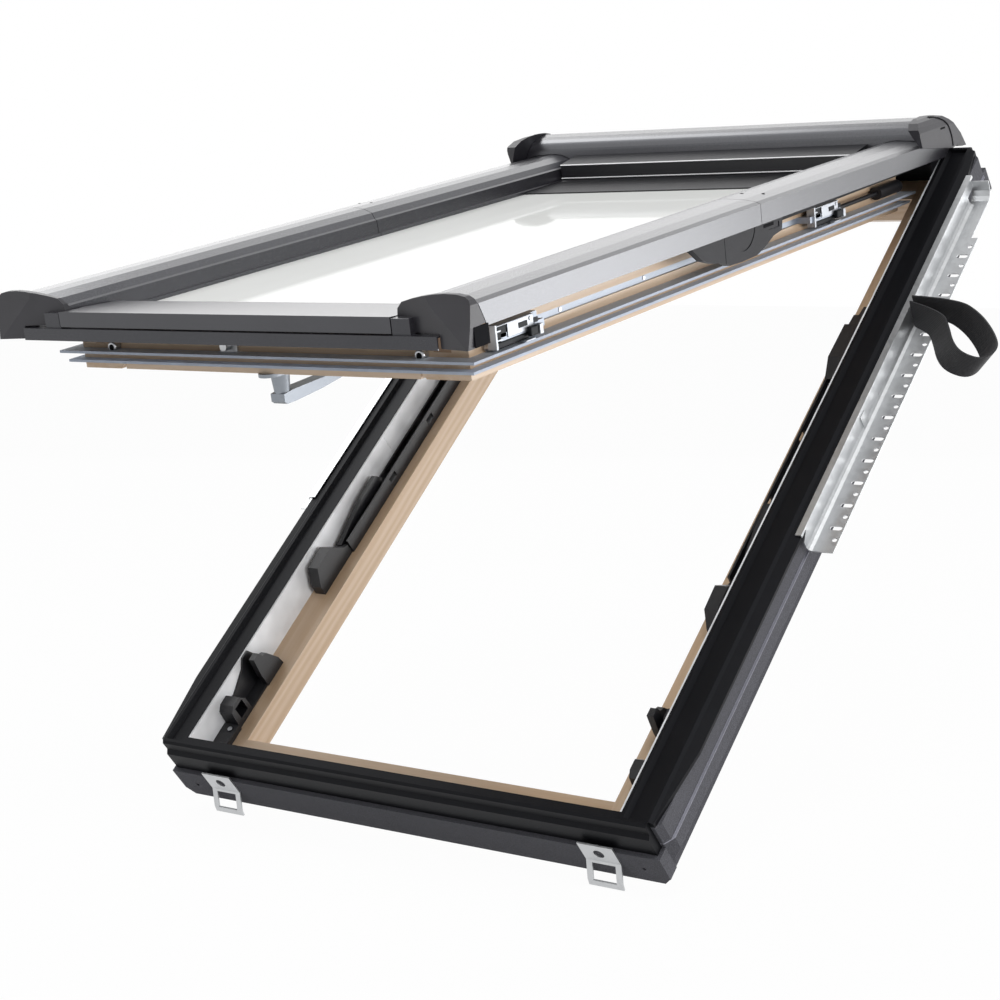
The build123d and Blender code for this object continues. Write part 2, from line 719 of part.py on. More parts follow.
def stay_arm(side):
    foot = [
        (STAY_U0, LEDGE_N),
        (STAY_U0, -34),
        (STAY_U0 + 13, -9),
        (STAY_U0 + 50, -7),
        (STAY_U1 - 8, -31),
        (STAY_U1, -34),
        (STAY_U1, LEDGE_N),
    ]
    flank(FRAME, foot, (STAY_X0, STAY_X1), side)
    arm = [
        (STAY_U1 - 4, -33),
        (STAY_U1 - 4, -31),
        (STAY_U1 + 71, -17),
        (STAY_U1 + 116, -16),
        (STAY_U1 + 124, -27),
        (STAY_U1 + 118, -38),
        (STAY_U1 + 4, -38),
    ]
    flank(FRAME, arm, (STAY_ARM_X0, STAY_ARM_X1), side)


with BuildPart() as stay_arm_left:
    stay_arm(LEFT)
stay_arm_left.part.label = "stay_arm_left"

with BuildPart() as stay_arm_right:
    stay_arm(RIGHT)
stay_arm_right.part.label = "stay_arm_right"

# Sash wood
STILE = [
    (SASH_X - SASH_IN + SASH_CHAMFER, SASH_ROOM_N),
    (SASH_X, SASH_ROOM_N),
    (SASH_X, STRIP_N0),
    (SASH_X - STRIP_DEPTH, STRIP_N0),
    (SASH_X - STRIP_DEPTH, STRIP_N1),
    (SASH_X, STRIP_N1),
    (SASH_X, SASH_TOP_N),
    (SASH_X - REBATE_IN, SASH_TOP_N),
    (SASH_X - REBATE_IN, REBATE_N),
    (SASH_X - SASH_IN, REBATE_N),
    (SASH_X - SASH_IN, SASH_ROOM_N + SASH_CHAMFER),
]
SASH_RAIL = [
    (SASH_U0, SASH_ROOM_N),
    (SASH_U0 + SASH_IN - SASH_CHAMFER, SASH_ROOM_N),
    (SASH_U0 + SASH_IN, SASH_ROOM_N + SASH_CHAMFER),
    (SASH_U0 + SASH_IN, REBATE_N),
    (SASH_U0 + REBATE_IN, REBATE_N),
    (SASH_U0 + REBATE_IN, SASH_TOP_N),
    (SASH_U0, SASH_TOP_N),
]
SASH_RAIL_X = SASH_X - SASH_IN

with BuildPart() as sash_left_stile:
    bar(SASH, STILE, SASH_U0, SASH_U1, LEFT)
sash_left_stile.part.label = "sash_left_stile"

with BuildPart() as sash_right_stile:
    bar(SASH, STILE, SASH_U0, SASH_U1, RIGHT)
sash_right_stile.part.label = "sash_right_stile"

SASH_INFILL = [(SASH_X - REBATE_IN, REBATE_N), (SASH_RAIL_X, REBATE_N), (SASH_RAIL_X, SASH_TOP_N), (SASH_X - REBATE_IN, SASH_TOP_N)]

with BuildPart() as sash_bottom_rail:
    beam(SASH, SASH_RAIL, -SASH_RAIL_X, SASH_RAIL_X)
    for side in (LEFT, RIGHT):
        bar(SASH, SASH_INFILL, SASH_U0, SASH_U0 + REBATE_IN, side)
sash_bottom_rail.part.label = "sash_bottom_rail"

with BuildPart() as sash_top_rail:
    beam(SASH, mirror_u(SASH_RAIL), -SASH_RAIL_X, SASH_RAIL_X)
    for side in (LEFT, RIGHT):
        bar(SASH, SASH_INFILL, SASH_U1 - REBATE_IN, SASH_U1, side)
sash_top_rail.part.label = "sash_top_rail"

# Rubber gaskets round the sash
with BuildPart() as sash_gasket_upper:
    ring(SASH, SASH_X, SASH_U0, SASH_U1, GASKET_UP_OUT, GASKET_UP_N, GASKET_UP_N + GASKET_T)
sash_gasket_upper.part.label = "sash_gasket_upper"

with BuildPart() as sash_gasket_lower:
    ring(SASH, SASH_X, SASH_U0, SASH_U1, GASKET_LOW_OUT, GASKET_LOW_N, GASKET_LOW_N + GASKET_T)
sash_gasket_lower.part.label = "sash_gasket_lower"

# Double glass unit
with BuildPart() as outer_pane:
    brick(SASH, (-GLASS_X, GLASS_X), (GLASS_U0, GLASS_U1), (GLASS_TOP_N - PANE_T, GLASS_TOP_N))
outer_pane.part.label = "outer_pane"

with BuildPart() as glass_spacer:
    brick(SASH, (-GLASS_X, GLASS_X), (GLASS_U0, GLASS_U1), (REBATE_N + PANE_T, GLASS_TOP_N - PANE_T))
    window_x = GLASS_X - SPACER_W
    window_u = (GLASS_U0 + SPACER_W, GLASS_U1 - SPACER_W)
    brick(SASH, (-window_x, window_x), window_u, (REBATE_N, GLASS_TOP_N), mode=Mode.SUBTRACT)
glass_spacer.part.label = "glass_spacer"

with BuildPart() as inner_pane:
    brick(SASH, (-GLASS_X, GLASS_X), (GLASS_U0, GLASS_U1), (REBATE_N, REBATE_N + PANE_T))
inner_pane.part.label = "inner_pane"

# Rounded side covers, a lower and an upper length on each side
COVER_LINE = [
    (COVER_IN_X, GLASS_TOP_N),
    (COVER_IN_X, -3),
    (COVER_IN_X + 4, -2),
    (COVER_IN_X + 5, 15),
    (COVER_IN_X + 8, 17),
    (COVER_IN_X + 12, 25),
    (COVER_IN_X + 26, COVER_CREST_N - 2),
    (COVER_IN_X + 42, COVER_CREST_N),
    (COVER_X - 24, COVER_CREST_N - 1.5),
    (COVER_X - 6, COVER_EDGE_N + 3),
    (COVER_X, COVER_EDGE_N),
    (COVER_X, COVER_LOW_N),
]
COVER = thicken(COVER_LINE, COVER_T)
LEG_X = (COVER_IN_X - 1, COVER_IN_X + 3)
LEG_N = (GLASS_TOP_N - 1, UP_BAND_N0)

# The slanted joint between a side cover and its end cap, in u and n
JOINT_LOW = (29.0, -20.0)
JOINT_HIGH = (1.0, 40.0)
COVER_TRIM = [(2 * CAP_U0, JOINT_LOW[1]), JOINT_LOW, JOINT_HIGH, (2 * CAP_U0, JOINT_HIGH[1])]


def lower_cover(side):
    bar(SASH, COVER, CAP_U0, COVER_SEAM_U, side)
    flank(SASH, shift(COVER_TRIM, COVER_SEAM), (COVER_IN_X - 1, COVER_X + 1), side, Mode.SUBTRACT)
    brick(SASH, LEG_X, (CAP_U0, BAND_BACK_U + BAND_GAP), LEG_N, side, Mode.SUBTRACT)


def upper_cover(side):
    bar(SASH, COVER, COVER_SEAM_U + COVER_SEAM, COVER_U1, side)
    over_frame = (HINGE_PLATE_U[0], FRAME_H + CAP_FRONT)
    brick(FRAME, (COVER_IN_X - 1, COVER_X + 1), over_frame, (ROOM_N, COVER_SEAM), side, Mode.SUBTRACT)


with BuildPart() as lower_cover_left:
    lower_cover(LEFT)
lower_cover_left.part.label = "lower_cover_left"

with BuildPart() as lower_cover_right:
    lower_cover(RIGHT)
lower_cover_right.part.label = "lower_cover_right"

with BuildPart() as upper_cover_left:
    upper_cover(LEFT)
upper_cover_left.part.label = "upper_cover_left"

with BuildPart() as upper_cover_right:
    upper_cover(RIGHT)
upper_cover_right.part.label = "upper_cover_right"

# Moulded caps at the sash's lower corners, three outlines crossed and hollowed
END_CAP = [
    (CAP_OUTER_X, CAP_LOW_N),
    (COVER_X - 2, CAP_LOW_N),
    (COVER_X, 4),
    (COVER_X, 26),
    (COVER_X - 1.5, 31),
    (COVER_X - 6, 34.5),
    (COVER_X - 17, 36.8),
    (COVER_X - 32, 37.3),
    (COVER_X - 46, 36.5),
    (COVER_X - 61, 34.5),
    (COVER_X - 78, 31),
    (CAP_IN_X + 8, 27.5),
    (CAP_IN_X + 1, 20.5),
    (CAP_IN_X, 14),
    (CAP_IN_X, CAP_SEAM_N),
    (CAP_OUTER_X, CAP_SEAM_N),
]
CAP_SIDE = [
    (CAP_U0, CAP_LOW_N - 1),
    (CAP_U0 + 9, 27),
    (CAP_U0 + 10, JOINT_HIGH[1]),
    JOINT_HIGH,
    (17.5, 4.5),
    (5, 3.5),
    (-3, CAP_LOW_N - 1),
]
CAP_PLAN = [
    (CAP_IN_X - 1, 4),
    (COVER_X - 3, CAP_U0),
    (COVER_X + 1, CAP_U0),
    (COVER_X + 1, CAP_BACK_U),
    (CAP_IN_X - 1, CAP_BACK_U),
]


def end_cap(side):
    xs = sorted((side * (CAP_IN_X - 1), side * (COVER_X + 1)))
    n_range = (CAP_LOW_N - 1, JOINT_HIGH[1])
    block = bar(SASH, END_CAP, CAP_U0, CAP_BACK_U, side, Mode.PRIVATE)
    block = block & beam(SASH, CAP_SIDE, xs[0], xs[1], Mode.PRIVATE)
    add(block & slab(SASH, CAP_PLAN, n_range[0], n_range[1], side, Mode.PRIVATE))
    hollow = bar(SASH, END_CAP, CAP_U0, CAP_BACK_U, side, Mode.PRIVATE, CAP_WALL)
    hollow = hollow & beam(SASH, shift(CAP_SIDE, CAP_WALL), xs[0], xs[1], Mode.PRIVATE)
    plan = [(x, u + CAP_WALL) for x, u in CAP_PLAN]
    add(hollow & slab(SASH, plan, n_range[0], n_range[1], side, Mode.PRIVATE), mode=Mode.SUBTRACT)
    brick(SASH, SOCKET_X, (CAP_U0 / 2, SOCKET_U1), (CAP_LOW_N, 0), side)


with BuildPart() as end_cap_left:
    end_cap(LEFT)
end_cap_left.part.label = "end_cap_left"

with BuildPart() as end_cap_right:
    end_cap(RIGHT)
end_cap_right.part.label = "end_cap_right"

# Bottom covers: an upper band between the caps and a lower band under it
UP_BAND = thicken(
    [
        (UP_BAND_U0, UP_BAND_N0),
        (UP_BAND_U0, UP_BAND_N1),
        (UP_BAND_IN_U - 8, UP_BAND_N1 / 2),
        (UP_BAND_IN_U, 0),
        (UP_BAND_IN_U, GLASS_TOP_N),
    ],
    COVER_T,
)
LOW_BAND = [
    (CAP_U0 + 3, LOW_BAND_N0),
    (CAP_U0 + 3, LOW_BAND_N1),
    (BAND_BACK_U, LOW_BAND_N1),
    (BAND_BACK_U, LOW_BAND_N1 - COVER_T),
    (CAP_U0 + 3 + COVER_T, LOW_BAND_N1 - COVER_T),
    (CAP_U0 + 3 + COVER_T, LOW_BAND_N0),
]

with BuildPart() as bottom_cover:
    half = COVER_IN_X - BAND_GAP
    beam(SASH, UP_BAND, -half, half)
    for side in (LEFT, RIGHT):
        ends = (CAP_IN_X - BAND_GAP, COVER_X)
        brick(SASH, ends, (CAP_U0, CAP_BACK_U), (CAP_LOW_N, COVER_CREST_N), side, Mode.SUBTRACT)
bottom_cover.part.label = "bottom_cover"

with BuildPart() as bottom_band:
    beam(SASH, LOW_BAND, BAND_GAP - CAP_OUTER_X, CAP_OUTER_X - BAND_GAP)
bottom_band.part.label = "bottom_band"


# Half-moon covers over the pivots
def pivot_cover(side):
    outline = [
        (PIVOT_U0, PIVOT_TUCK),
        (PIVOT_U0, -1),
        (PIVOT_U0 + 22, -17),
        (PIVOT_U0 + 48, -25),
        (PIVOT_SEAM_U - 4, -28),
        (PIVOT_SEAM_U + 8, PIVOT_LOW_N + 1),
        (PIVOT_SEAM_U + 40, PIVOT_LOW_N),
        (PIVOT_U1 - 72, PIVOT_LOW_N + 1),
        (PIVOT_U1 - 48, PIVOT_LOW_N + 8),
        (PIVOT_U1 - 26, -18),
        (PIVOT_U1 - 4, -15),
        (PIVOT_U1, 0),
        (PIVOT_U1, PIVOT_TUCK),
    ]
    face = COVER_X - COVER_T
    edges = sorted((side * face, side * (face - PIVOT_T)))
    beam(SASH, outline, edges[0], edges[1])
    seam = [(PIVOT_SEAM_U, PIVOT_TUCK), (PIVOT_SEAM_U, -40), (PIVOT_SEAM_U + 1, -40), (PIVOT_SEAM_U + 1, PIVOT_TUCK)]
    groove = sorted((side * (face + 1), side * (face - 1)))
    beam(SASH, seam, groove[0], groove[1], Mode.SUBTRACT)
    with BuildSketch(Plane(SASH * Pos(groove[0], 0, 0) * Plane.YZ.location)) as crescent:
        with Locations((CRESCENT_U, CRESCENT_N)):
            Circle(CRESCENT_R)
            Circle(CRESCENT_R - CRESCENT_W, mode=Mode.SUBTRACT)
        with Locations((CRESCENT_U + CRESCENT_R / 2, CRESCENT_N - CRESCENT_R)):
            Rectangle(1.5 * CRESCENT_R, 1.5 * CRESCENT_R, mode=Mode.INTERSECT)
    extrude(crescent.sketch, amount=groove[1] - groove[0], mode=Mode.SUBTRACT)
    slot_u, slot_n = PIVOT_SLOT_U, PIVOT_SLOT_N
    brick(SASH, (face - 1, face + 1), slot_u, slot_n, side, Mode.SUBTRACT)


with BuildPart() as pivot_cover_left:
    pivot_cover(LEFT)
pivot_cover_left.part.label = "pivot_cover_left"

with BuildPart() as pivot_cover_right:
    pivot_cover(RIGHT)
pivot_cover_right.part.label = "pivot_cover_right"

# Hood over the sash's top end
HOOD = [
    (HOOD_U0, HOOD_LOW_N + 14),
    (HOOD_U0, HOOD_FRONT_N),
    (HOOD_U0 + 5, HOOD_FRONT_N + 9),
    (HOOD_U0 + 18, HOOD_CREST_N - 3),
    (HOOD_U0 + 34, HOOD_CREST_N),
    (HOOD_U0 + 50, HOOD_CREST_N - 3),
    (HOOD_U0 + 74, HOOD_CREST_N - 15),
    (HOOD_U1 - 20, HOOD_CREST_N - 32),
    (HOOD_U1 - 6, HOOD_LOW_N + 7),
    (HOOD_U1, HOOD_LOW_N),
]
HOOD_TRIM = [
    (HOOD_X, HOOD_CREST_N + 4),
    (HOOD_SIDE_X, HOOD_LOW_N + 18),
    (HOOD_SIDE_X, 0),
    (HOOD_CAP_X, 0),
    (HOOD_CAP_X, HOOD_CREST_N + 4),
]


def clear_cover(side):
    bar(SASH, COVER_LINE, HOOD_CHEEK_U - 1, COVER_U1 + HOOD_SEAM, side, Mode.SUBTRACT, -HOOD_SEAM)


with BuildPart() as hood:
    beam(SASH, thicken(HOOD, HOOD_T), -HOOD_CAP_X, HOOD_CAP_X)
    for side in (LEFT, RIGHT):
        bar(SASH, HOOD_TRIM, HOOD_U0 - 1, HOOD_U1 + 1, side, Mode.SUBTRACT)
        clear_cover(side)
hood.part.label = "hood"

HOOD_DOME = [
    (HOOD_X + HOOD_SEAM, HOOD_CREST_N + 4),
    (HOOD_X + 10, HOOD_CREST_N + 2),
    (HOOD_X + 17, HOOD_CREST_N - 1),
    (HOOD_CAP_X - 2, HOOD_CREST_N - 7),
    (HOOD_CAP_X, HOOD_CREST_N - 14),
    (HOOD_CAP_X, 0),
    (HOOD_SIDE_X + HOOD_SEAM, 0),
    (HOOD_SIDE_X + HOOD_SEAM, HOOD_LOW_N + 18),
]
HOOD_FLANK = [
    (HOOD_CHEEK_U + 12, COVER_EDGE_N),
    (HOOD_CHEEK_U + 6, COVER_CREST_N + 8),
    (HOOD_CHEEK_U + 4, HOOD_CREST_N - 9),
    (HOOD_CHEEK_U + 16, HOOD_CREST_N - 1),
    (HOOD_CHEEK_U + 36, HOOD_CREST_N + 3),
    (HOOD_CHEEK_U + 60, HOOD_CREST_N + 4),
    (HOOD_U0 + 34, HOOD_CREST_N + 2.5),
    (HOOD_U0 + 52, HOOD_CREST_N - 1),
    (HOOD_U0 + 74, HOOD_CREST_N - 13),
    (HOOD_U1 - 18, HOOD_CREST_N - 31),
    (HOOD_U1, HOOD_LOW_N),
    (HOOD_U1 - 16, HOOD_LOW_N + 0.5),
    (HOOD_U1 - 28, HOOD_LOW_N + 5.5),
    (COVER_U1, HOOD_LOW_N + 2),
]


def hood_cap(side):
    dome = bar(SASH, HOOD_DOME, HOOD_CHEEK_U - 1, HOOD_U1 + 1, side, Mode.PRIVATE)
    low, high = sorted((side * HOOD_X, side * (HOOD_CAP_X + 1)))
    add(dome & beam(SASH, HOOD_FLANK, low, high, Mode.PRIVATE))
    clear_cover(side)


with BuildPart() as hood_cap_left:
    hood_cap(LEFT)
hood_cap_left.part.label = "hood_cap_left"

with BuildPart() as hood_cap_right:
    hood_cap(RIGHT)
hood_cap_right.part.label = "hood_cap_right"

# Dark panel between the glass and the hood, with a flap on the glass
PANEL = [
    (PANEL_FOOT_U, GLASS_TOP_N),
    (PANEL_FOOT_U, GLASS_TOP_N + PANEL_FOOT_T),
    (PANEL_U0 - 6, GLASS_TOP_N + 2 * PANEL_FOOT_T),
    (PANEL_U0, 0),
    (PANEL_U0 - PANEL_LINE, PANEL_LINE / 2),
    (PANEL_U0, PANEL_LINE),
    (PANEL_U0, 20),
    (PANEL_U0 - PANEL_LINE, 20 + PANEL_LINE / 2),
    (PANEL_U0, 20 + PANEL_LINE),
    (HOOD_U0 - 1, PANEL_TOP_N),
    (HOOD_U0 - 1, PANEL_TOP_N - 2 * PANEL_LINE),
    (PANEL_U0 + PANEL_BACK, 20),
    (PANEL_U0 + PANEL_BACK, GLASS_TOP_N),
]

with BuildPart() as top_panel:
    beam(SASH, PANEL, BAND_GAP - COVER_IN_X, COVER_IN_X - BAND_GAP)
top_panel.part.label = "top_panel"


# Steel faceplates with their locks, in the grooves of the stiles
def lock_bar(side):
    face = SASH_X - STRIP_DEPTH
    brick(SASH, (face, face + FACEPLATE_T), (LOCK_U0, FACEPLATE_U1), (STRIP_N0, STRIP_N1), side)
    lock_x = (face, SASH_X + LOCK_OUT)
    brick(SASH, lock_x, (LOCK_U0, LOCK_U1), (STRIP_N0, STRIP_N1), side)
    brick(SASH, (SASH_X, SASH_X + LOCK_OUT / 2), (LOCK_U0, LOCK_U1), (STRIP_N0 - 8, STRIP_N1 + 8), side)
    brick(SASH, lock_x, (UP_LOCK_U0, UP_LOCK_U1), (STRIP_N0, STRIP_N1), side)
    up_u = (UP_LOCK_U0 + 30, UP_LOCK_U1 - 12)
    brick(SASH, (SASH_X, SASH_X + LOCK_OUT / 2), up_u, (STRIP_N0 - 6, STRIP_N1 + 8), side)


with BuildPart() as lock_bar_left:
    lock_bar(LEFT)
lock_bar_left.part.label = "lock_bar_left"

with BuildPart() as lock_bar_right:
    lock_bar(RIGHT)
lock_bar_right.part.label = "lock_bar_right"


# Rods with black heads above the locks
def lift_rod(side):
    middle = (STRIP_N0 + STRIP_N1) / 2
    x = side * (SASH_X + ROD_HEAD_R)
    rod(SASH, (x, ROD_HEAD_U0, middle), ROD_U1 - ROD_HEAD_U0, ROD_HEAD_R, Rot(-90, 0, 0))
    rod(SASH, (x, UP_LOCK_U1, middle), ROD_HEAD_U0 - UP_LOCK_U1, ROD_R, Rot(-90, 0, 0))


with BuildPart() as lift_rod_left:
    lift_rod(LEFT)
lift_rod_left.part.label = "lift_rod_left"

with BuildPart() as lift_rod_right:
    lift_rod(RIGHT)
lift_rod_right.part.label = "lift_rod_right"


# Arms that carry the sash from the hinge at the head to the pivots
def hinge_arm(side):
    outline = [
        (ARM_U0, ARM_N0),
        (HINGE_U - ARM_PIN_R, ARM_N0 + 4),
        (HINGE_U + ARM_PIN_R, ARM_N0 + 8),
        (HINGE_U + ARM_PIN_R, ARM_N1 - 2),
        (HINGE_U - ARM_PIN_R, ARM_N1),
        (ARM_U0, ARM_N1),
    ]
    flank(SASH, outline, (ARM_X, ARM_X + ARM_T), side)
    low = min(side * SASH_X, side * (ARM_X + ARM_T))
    boss = (low, ARM_PIVOT_U, (ARM_N0 + ARM_N1) / 2)
    rod(SASH, boss, ARM_X + ARM_T - SASH_X, ARM_PIVOT_R, Rot(0, 90, 0))
    low = min(side * ARM_X, side * WALL_X)
    rod(SASH, (low, HINGE_U, HINGE_N), WALL_X - ARM_X, ARM_PIN_R, Rot(0, 90, 0))
    brick(FRAME, (WALL_X - ARM_T, WALL_X), HINGE_PLATE_U, HINGE_PLATE_N, side)


with BuildPart() as hinge_arm_left:
    hinge_arm(LEFT)
hinge_arm_left.part.label = "hinge_arm_left"

with BuildPart() as hinge_arm_right:
    hinge_arm(RIGHT)
hinge_arm_right.part.label = "hinge_arm_right"

# Metal catch in the middle of the sash's lower edge
with BuildPart() as bottom_catch:
    half = CATCH_W / 2
    brick(SASH, (CATCH_X - half, CATCH_X + half), (SASH_U0 - 3, SASH_U0), (CATCH_N0, CATCH_N1))
    rod(SASH, (CATCH_X, SASH_U0 - 3, (CATCH_N0 + CATCH_N1) / 2), 9, 5, Rot(90, 0, 0))
bottom_catch.part.label = "bottom_catch"

# Turning handle on the room side of the bottom rail
ROSE_N = SASH_ROOM_N - ROSE_T

with BuildPart() as handle_rose:
    with BuildSketch(Plane(SASH * Pos(0, HANDLE_U, ROSE_N))) as rose:
        SlotOverall(ROSE_L, ROSE_W, rotation=90)
    extrude(rose.sketch, amount=ROSE_T)
handle_rose.part.label = "handle_rose"

with BuildPart() as handle_lever:
    with BuildSketch(Plane(SASH * Pos(0, HANDLE_U, ROSE_N - NECK_GAP))) as top:
        Circle(NECK_R)
    with BuildSketch(Plane(SASH * Pos(0, HANDLE_U, NECK_END_N + LEVER_T))) as end:
        Circle(NECK_R1)
    loft(sections=[top.sketch, end.sketch])
    lever = [
        (HANDLE_U - NECK_R1, NECK_END_N + LEVER_T),
        (HANDLE_U - NECK_R1, NECK_END_N + 3),
        (HANDLE_U - NECK_R1 + 4, NECK_END_N),
        (HANDLE_U + NECK_R1, NECK_END_N),
        (HANDLE_U + LEVER_L / 2, NECK_END_N + LEVER_RISE / 3),
        (HANDLE_U + LEVER_L, NECK_END_N + LEVER_RISE),
        (HANDLE_U + LEVER_L, NECK_END_N + LEVER_RISE + LEVER_T / 2),
        (HANDLE_U + LEVER_L / 2, NECK_END_N + LEVER_RISE / 3 + LEVER_T),
        (HANDLE_U + NECK_R1, NECK_END_N + LEVER_T + 2),
    ]
    beam(SASH, lever, -LEVER_W / 2, LEVER_W / 2)
handle_lever.part.label = "handle_lever"

export_step(frame_left_jamb.part, "parts/frame_left_jamb.step")
export_step(frame_right_jamb.part, "parts/frame_right_jamb.step")
export_step(frame_bottom_rail.part, "parts/frame_bottom_rail.step")
export_step(frame_head_rail.part, "parts/frame_head_rail.step")
export_step(lining_left.part, "parts/lining_left.step")
export_step(lining_right.part, "parts/lining_right.step")
export_step(frame_cap.part, "parts/frame_cap.step")
export_step(insulation_block.part, "parts/insulation_block.step")
export_step(side_bracket_left.part, "parts/side_bracket_left.step")
export_step(side_bracket_right.part, "parts/side_bracket_right.step")
export_step(head_bracket_left.part, "parts/head_bracket_left.step")
export_step(head_bracket_right.part, "parts/head_bracket_right.step")
export_step(carrying_strap.part, "parts/carrying_strap.step")
export_step(foot_clip_left.part, "parts/foot_clip_left.step")
export_step(foot_clip_right.part, "parts/foot_clip_right.step")
export_step(corner_plate_left.part, "parts/corner_plate_left.step")
export_step(corner_plate_right.part, "parts/corner_plate_right.step")
export_step(lower_catch_left.part, "parts/lower_catch_left.step")
export_step(lower_catch_right.part, "parts/lower_catch_right.step")
export_step(stay_rail_left.part, "parts/stay_rail_left.step")
export_step(stay_rail_right.part, "parts/stay_rail_right.step")
export_step(stay_arm_left.part, "parts/stay_arm_left.step")
export_step(stay_arm_right.part, "parts/stay_arm_right.step")
export_step(sash_left_stile.part, "parts/sash_left_stile.step")
export_step(sash_right_stile.part, "parts/sash_right_stile.step")
export_step(sash_bottom_rail.part, "parts/sash_bottom_rail.step")
export_step(sash_top_rail.part, "parts/sash_top_rail.step")
export_step(sash_gasket_upper.part, "parts/sash_gasket_upper.step")
export_step(sash_gasket_lower.part, "parts/sash_gasket_lower.step")
export_step(outer_pane.part, "parts/outer_pane.step")
export_step(glass_spacer.part, "parts/glass_spacer.step")
export_step(inner_pane.part, "parts/inner_pane.step")
export_step(lower_cover_left.part, "parts/lower_cover_left.step")
export_step(lower_cover_right.part, "parts/lower_cover_right.step")
export_step(upper_cover_left.part, "parts/upper_cover_left.step")
export_step(upper_cover_right.part, "parts/upper_cover_right.step")
export_step(end_cap_left.part, "parts/end_cap_left.step")
export_step(end_cap_right.part, "parts/end_cap_right.step")
export_step(bottom_cover.part, "parts/bottom_cover.step")
export_step(bottom_band.part, "parts/bottom_band.step")
export_step(pivot_cover_left.part, "parts/pivot_cover_left.step")
export_step(pivot_cover_right.part, "parts/pivot_cover_right.step")
export_step(hood.part, "parts/hood.step")
export_step(hood_cap_left.part, "parts/hood_cap_left.step")
export_step(hood_cap_right.part, "parts/hood_cap_right.step")
export_step(top_panel.part, "parts/top_panel.step")
export_step(lock_bar_left.part, "parts/lock_bar_left.step")
export_step(lock_bar_right.part, "parts/lock_bar_right.step")
export_step(lift_rod_left.part, "parts/lift_rod_left.step")
export_step(lift_rod_right.part, "parts/lift_rod_right.step")
export_step(hinge_arm_left.part, "parts/hinge_arm_left.step")
export_step(hinge_arm_right.part, "parts/hinge_arm_right.step")
export_step(bottom_catch.part, "parts/bottom_catch.step")
export_step(handle_rose.part, "parts/handle_rose.step")
export_step(handle_lever.part, "parts/handle_lever.step")
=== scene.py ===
from math import radians

import bmesh
import bpy
from mathutils import Matrix, Vector


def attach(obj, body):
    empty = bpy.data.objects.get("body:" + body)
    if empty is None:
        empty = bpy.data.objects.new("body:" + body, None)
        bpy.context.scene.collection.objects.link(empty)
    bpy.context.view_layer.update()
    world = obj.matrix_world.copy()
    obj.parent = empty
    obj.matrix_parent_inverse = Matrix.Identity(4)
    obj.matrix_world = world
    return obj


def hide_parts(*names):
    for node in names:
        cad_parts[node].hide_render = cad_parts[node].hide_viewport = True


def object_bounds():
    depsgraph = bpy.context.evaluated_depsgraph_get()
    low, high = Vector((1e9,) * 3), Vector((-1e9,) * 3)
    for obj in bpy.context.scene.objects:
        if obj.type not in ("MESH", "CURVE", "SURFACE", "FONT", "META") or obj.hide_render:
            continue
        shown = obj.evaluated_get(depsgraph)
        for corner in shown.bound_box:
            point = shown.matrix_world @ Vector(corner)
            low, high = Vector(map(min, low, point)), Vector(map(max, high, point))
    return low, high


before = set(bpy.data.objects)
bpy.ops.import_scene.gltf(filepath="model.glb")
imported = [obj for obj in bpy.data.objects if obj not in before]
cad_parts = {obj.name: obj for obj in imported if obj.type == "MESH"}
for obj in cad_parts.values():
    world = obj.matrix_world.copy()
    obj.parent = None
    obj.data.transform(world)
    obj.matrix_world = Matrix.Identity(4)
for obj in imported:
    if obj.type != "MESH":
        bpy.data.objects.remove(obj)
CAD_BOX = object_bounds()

bl_info = {
    "name": "Roof window dressing",
    "version": (1, 0, 0),
    "blender": (4, 5, 0),
    "location": "View3D > Sidebar > Roof window",
    "description": "Finishes, small fittings and a studio for a top-hung roof window",
    "category": "Object",
}

# Places of the frame and of the open sash, as in the part's source, in metres
PITCH = radians(42.0)
OPENING = radians(31.1)
SASH_PITCH = PITCH - OPENING
FRAME_PLACE = Matrix.Rotation(PITCH, 4, "X") @ Matrix.Translation((0, -0.018, 0.108))
HINGE = Matrix.Translation((0, 1.160, 0.006))
SASH_PLACE = FRAME_PLACE @ HINGE @ Matrix.Rotation(-OPENING, 4, "X") @ HINGE.inverted()
SIDES = (("left", -1), ("right", 1))
BODY = "window"

# Turns and sides of the small round pieces, which are made standing up
UP = Matrix.Identity(4)
DOWN_SLOPE = Matrix.Rotation(radians(90), 4, "X")
ROUND_SIDES = 24

# Fixed tones, which the settings leave alone
SHADOW = (0.004, 0.004, 0.005)
WHITE = (1, 1, 1, 1)
COOL_SHEEN = (0.90, 0.93, 1.0, 1)


def sash_level(height, up_slope=0.0):
    """The y and z of a sash point, once the sash's pitch is turned back."""
    turned_back = Matrix.Rotation(-SASH_PITCH, 4, "X") @ SASH_PLACE
    return (turned_back @ Vector((0, up_slope, height))).yz


class Number:
    """A float socket that can be used in sums."""

    def __init__(self, nodes, socket):
        self.nodes = nodes
        self.socket = socket

    def math(self, operation, first, second):
        made = self.nodes.node("ShaderNodeMath", {0: first, 1: second}, operation=operation)
        return Number(self.nodes, made.outputs[0])

    def __add__(self, other):
        return self.math("ADD", self, other)

    def __radd__(self, other):
        return self.math("ADD", other, self)

    def __sub__(self, other):
        return self.math("SUBTRACT", self, other)

    def __rsub__(self, other):
        return self.math("SUBTRACT", other, self)

    def __mul__(self, other):
        return self.math("MULTIPLY", self, other)

    def __rmul__(self, other):
        return self.math("MULTIPLY", other, self)

    def __gt__(self, other):
        return self.math("GREATER_THAN", self, other)

    def __lt__(self, other):
        return self.math("LESS_THAN", self, other)

    def size(self):
        return self.math("ABSOLUTE", self, 0.0)

    def least(self, other):
        return self.math("MINIMUM", self, other)

    def most(self, other):
        return self.math("MAXIMUM", self, other)


